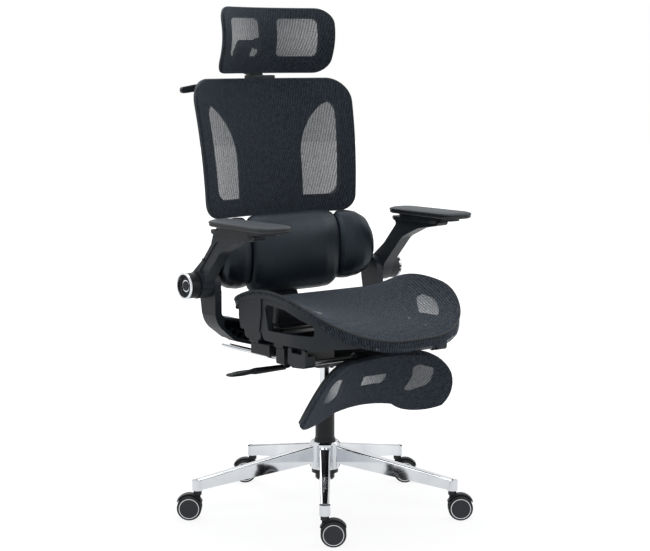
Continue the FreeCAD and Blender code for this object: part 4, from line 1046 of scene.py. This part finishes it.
def stitch_line(name, tree, x):
    """Row of thread stitches down the front of the lumbar cushion."""
    verts = []
    faces = []
    for z in STITCH_HEIGHTS:
        ends = []
        for height in (z - STITCH_HALF_LENGTH, z + STITCH_HALF_LENGTH):
            hit, normal, _, _ = tree.ray_cast(Vector((x, STITCH_RAY_START, height)), BACKWARD)
            if hit is not None:
                ends.append((hit, normal))
        if len(ends) < 2:
            continue
        first = range(len(verts), len(verts) + STITCH_SIDES)
        second = range(first.stop, first.stop + STITCH_SIDES)
        for hit, normal in ends:
            side = normal.cross(UP).normalized()
            verts += circle(hit + normal * STITCH_LIFT, side, normal, STITCH_RADIUS, STITCH_SIDES)
        faces += ring_faces(first, second)
        faces += [tuple(first), tuple(second)]
    new_piece(name, verts, faces, "lumbar", THREAD)


def make_lumbar():
    centre = softened("lumbar_cushion_centre", "lumbar_pad_centre", "lumbar", LEATHER, LUMBAR_VOXEL,
                      LUMBAR_SMOOTHINGS, cushion_relief)
    sides = softened("lumbar_cushion_sides", "lumbar_pads_side", "lumbar", LEATHER, LUMBAR_VOXEL,
                     LUMBAR_SMOOTHINGS, cushion_relief)
    rows = ((centre, "centre", SEAM - STITCH_OFFSET), (sides, "side", SEAM + STITCH_OFFSET))
    for piece, label, place in rows:
        tree = search_tree(piece)
        for side, way in SIDES:
            stitch_line("stitches_%s_%s" % (label, side), tree, way * place)


def arm_pad_relief(place, normal):
    """A pressed seam round the edge and a faint crown on top."""
    level = math.hypot(normal.x, normal.y)
    groove = math.exp(-((place.z - ARM_SEAM) / ARM_SEAM_WIDTH) ** 2) * level
    return ARM_PAD_CROWN * max(normal.z, 0.0) - ARM_SEAM_DEPTH * groove


def make_arm_pads():
    for side, _ in SIDES:
        piece = softened("armrest_pad_%s" % side, "arm_pad_%s" % side, "pad_%s" % side, PAD,
                         ARM_PAD_VOXEL, ARM_PAD_SMOOTHINGS, arm_pad_relief)


# Small hardware

SCREW_STEPS = 24
# A face takes a screw when the ray meets it at least this squarely, where 1 is square on.
LEAST_SQUARE = 0.6

# Screws in mirrored pairs: their node, their label, the direction of the rays that find their seats,
# their heads' radius and where the rays on the left start.
SCREWS = (
    ("mechanism_housing", "housing_screw", UP, 0.0045, [(0.045, -0.085, 0.2), (0.045, 0.09, 0.2)]),
    ("back_panel", "back_screw", FORWARD, 0.004,
     [(0.19, 0.6, 0.79), (0.2, 0.6, 0.99), (0.035, 0.6, 0.775)]),
    ("spine_column", "spine_screw", FORWARD, 0.005, [(0.02, 0.6, 0.80), (0.02, 0.6, 0.70)]),
    ("headrest_frame", "headrest_screw", FORWARD, 0.003, [(0.1, 0.6, 1.095), (0.1, 0.6, 1.228)]),
    ("neck_bracket", "neck_screw", FORWARD, 0.004, [(0.02, 0.6, 0.975)]),
    ("lumbar_shell", "lumbar_screw", FORWARD, 0.0035, [(0.11, 0.6, 0.60), (0.11, 0.6, 0.68)]),
    ("seat_frame", "seat_screw", UP, 0.004, [(0.21, -0.05, 0.3), (0.21, 0.05, 0.3)]),
)


def socket_screw(name, body, at, axis, radius):
    """Round head with a bevelled rim and a hexagon socket, its seat at the given place."""
    axis = Vector(axis).normalized()
    side = axis.cross(Vector((0.3, 0.5, 0.81))).normalized()
    up = axis.cross(side)
    turns = [2 * math.pi * k / SCREW_STEPS for k in range(SCREW_STEPS)]
    half_flat = radius * 0.52
    sixth = math.pi / 3
    hexagon = [half_flat / math.cos((turn + sixth / 2) % sixth - sixth / 2) for turn in turns]
    wall = [radius] * SCREW_STEPS
    bevel = [radius * 0.86] * SCREW_STEPS
    # Each ring of the head: its radius at every turn and its height over the seat.
    rings = ((wall, -0.0006), (wall, radius * 0.42), (bevel, radius * 0.58),
             (hexagon, radius * 0.58), (hexagon, radius * 0.12))
    verts = []
    for reaches, rise in rings:
        for turn, reach in zip(turns, reaches):
            out = side * (reach * math.cos(turn)) + up * (reach * math.sin(turn))
            verts.append(Vector(at) + out + axis * rise)
    loops = [range(k * SCREW_STEPS, (k + 1) * SCREW_STEPS) for k in range(len(rings))]
    faces = [tuple(loops[0]), tuple(loops[-1])]
    for lower, upper in zip(loops, loops[1:]):
        faces += ring_faces(lower, upper)
    new_piece(name, verts, faces, body, POWDER, smooth=False)


def screws_on(node, label, starts, way, radius):
    """Screws where rays from the given places first meet the node, square to its face."""
    tree = search_tree(nodes[node])
    way = Vector(way).normalized()
    for k, start in enumerate(starts):
        hit, normal, _, _ = tree.ray_cast(Vector(start), way)
        if hit is not None and -normal.dot(way) > LEAST_SQUARE:
            socket_screw("%s_%d" % (label, k + 1), nodes[node]["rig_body"], hit, normal, radius)


def mirrored(places):
    """Each place, and the same place on the other side."""
    return [(x * way, y, z) for x, y, z in places for way in (1, -1)]


def make_screws():
    for node, label, way, radius, starts in SCREWS:
        screws_on(node, label, mirrored(starts), way, radius)
    for side, sign in SIDES:
        screws_on("arm_post_" + side, "arm_%s_screw" % side, [(sign * 0.5, 0.09, 0.64)],
                  (-sign, 0, 0), 0.004)
        screws_on("arm_slide_plate_" + side, "arm_%s_plate_screw" % side, [(sign * 0.279, 0.0, 0.6)],
                  UP, 0.0035)
    behind = [FOOT_PLANE.point(x, v, -0.3) for x in (-0.052, 0.052) for v in (-0.024, -0.056)]
    screws_on("footrest_bracket", "footrest_screw", behind, FOOT_PLANE.h, 0.004)


def rounded_block(name, body, low, high, bevel, material):
    """Box between two corners with its edges rounded over."""
    corners = [(x, y, z) for x in (low[0], high[0]) for y in (low[1], high[1])
               for z in (low[2], high[2])]
    faces = [(0, 1, 3, 2), (4, 6, 7, 5), (0, 4, 5, 1), (2, 3, 7, 6), (0, 2, 6, 4), (1, 5, 7, 3)]
    block = new_piece(name, corners, faces, body, material)
    rounding = block.modifiers.new("rounding", "BEVEL")
    rounding.width = bevel
    rounding.segments = 4
    apply_modifiers(block)


def make_neck_foot():
    """Plate that the neck rises through, seen just above the back's top edge."""
    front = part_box("neck_bracket")[0].y
    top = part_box("back_frame")[1].z
    rounded_block("neck_foot_plate", "back", (-0.040, front + 0.001, top - 0.0012),
                  (0.040, front + 0.0255, top + 0.0088), 0.0022, GREY)


make_camera()
make_lamps()
make_world()
make_floor()
make_dark_band()
dress_nodes()
make_seat()
make_seat_pan()
make_back()
make_headrest()
make_footrest()
make_lumbar()
make_arm_pads()
make_screws()
make_neck_foot()
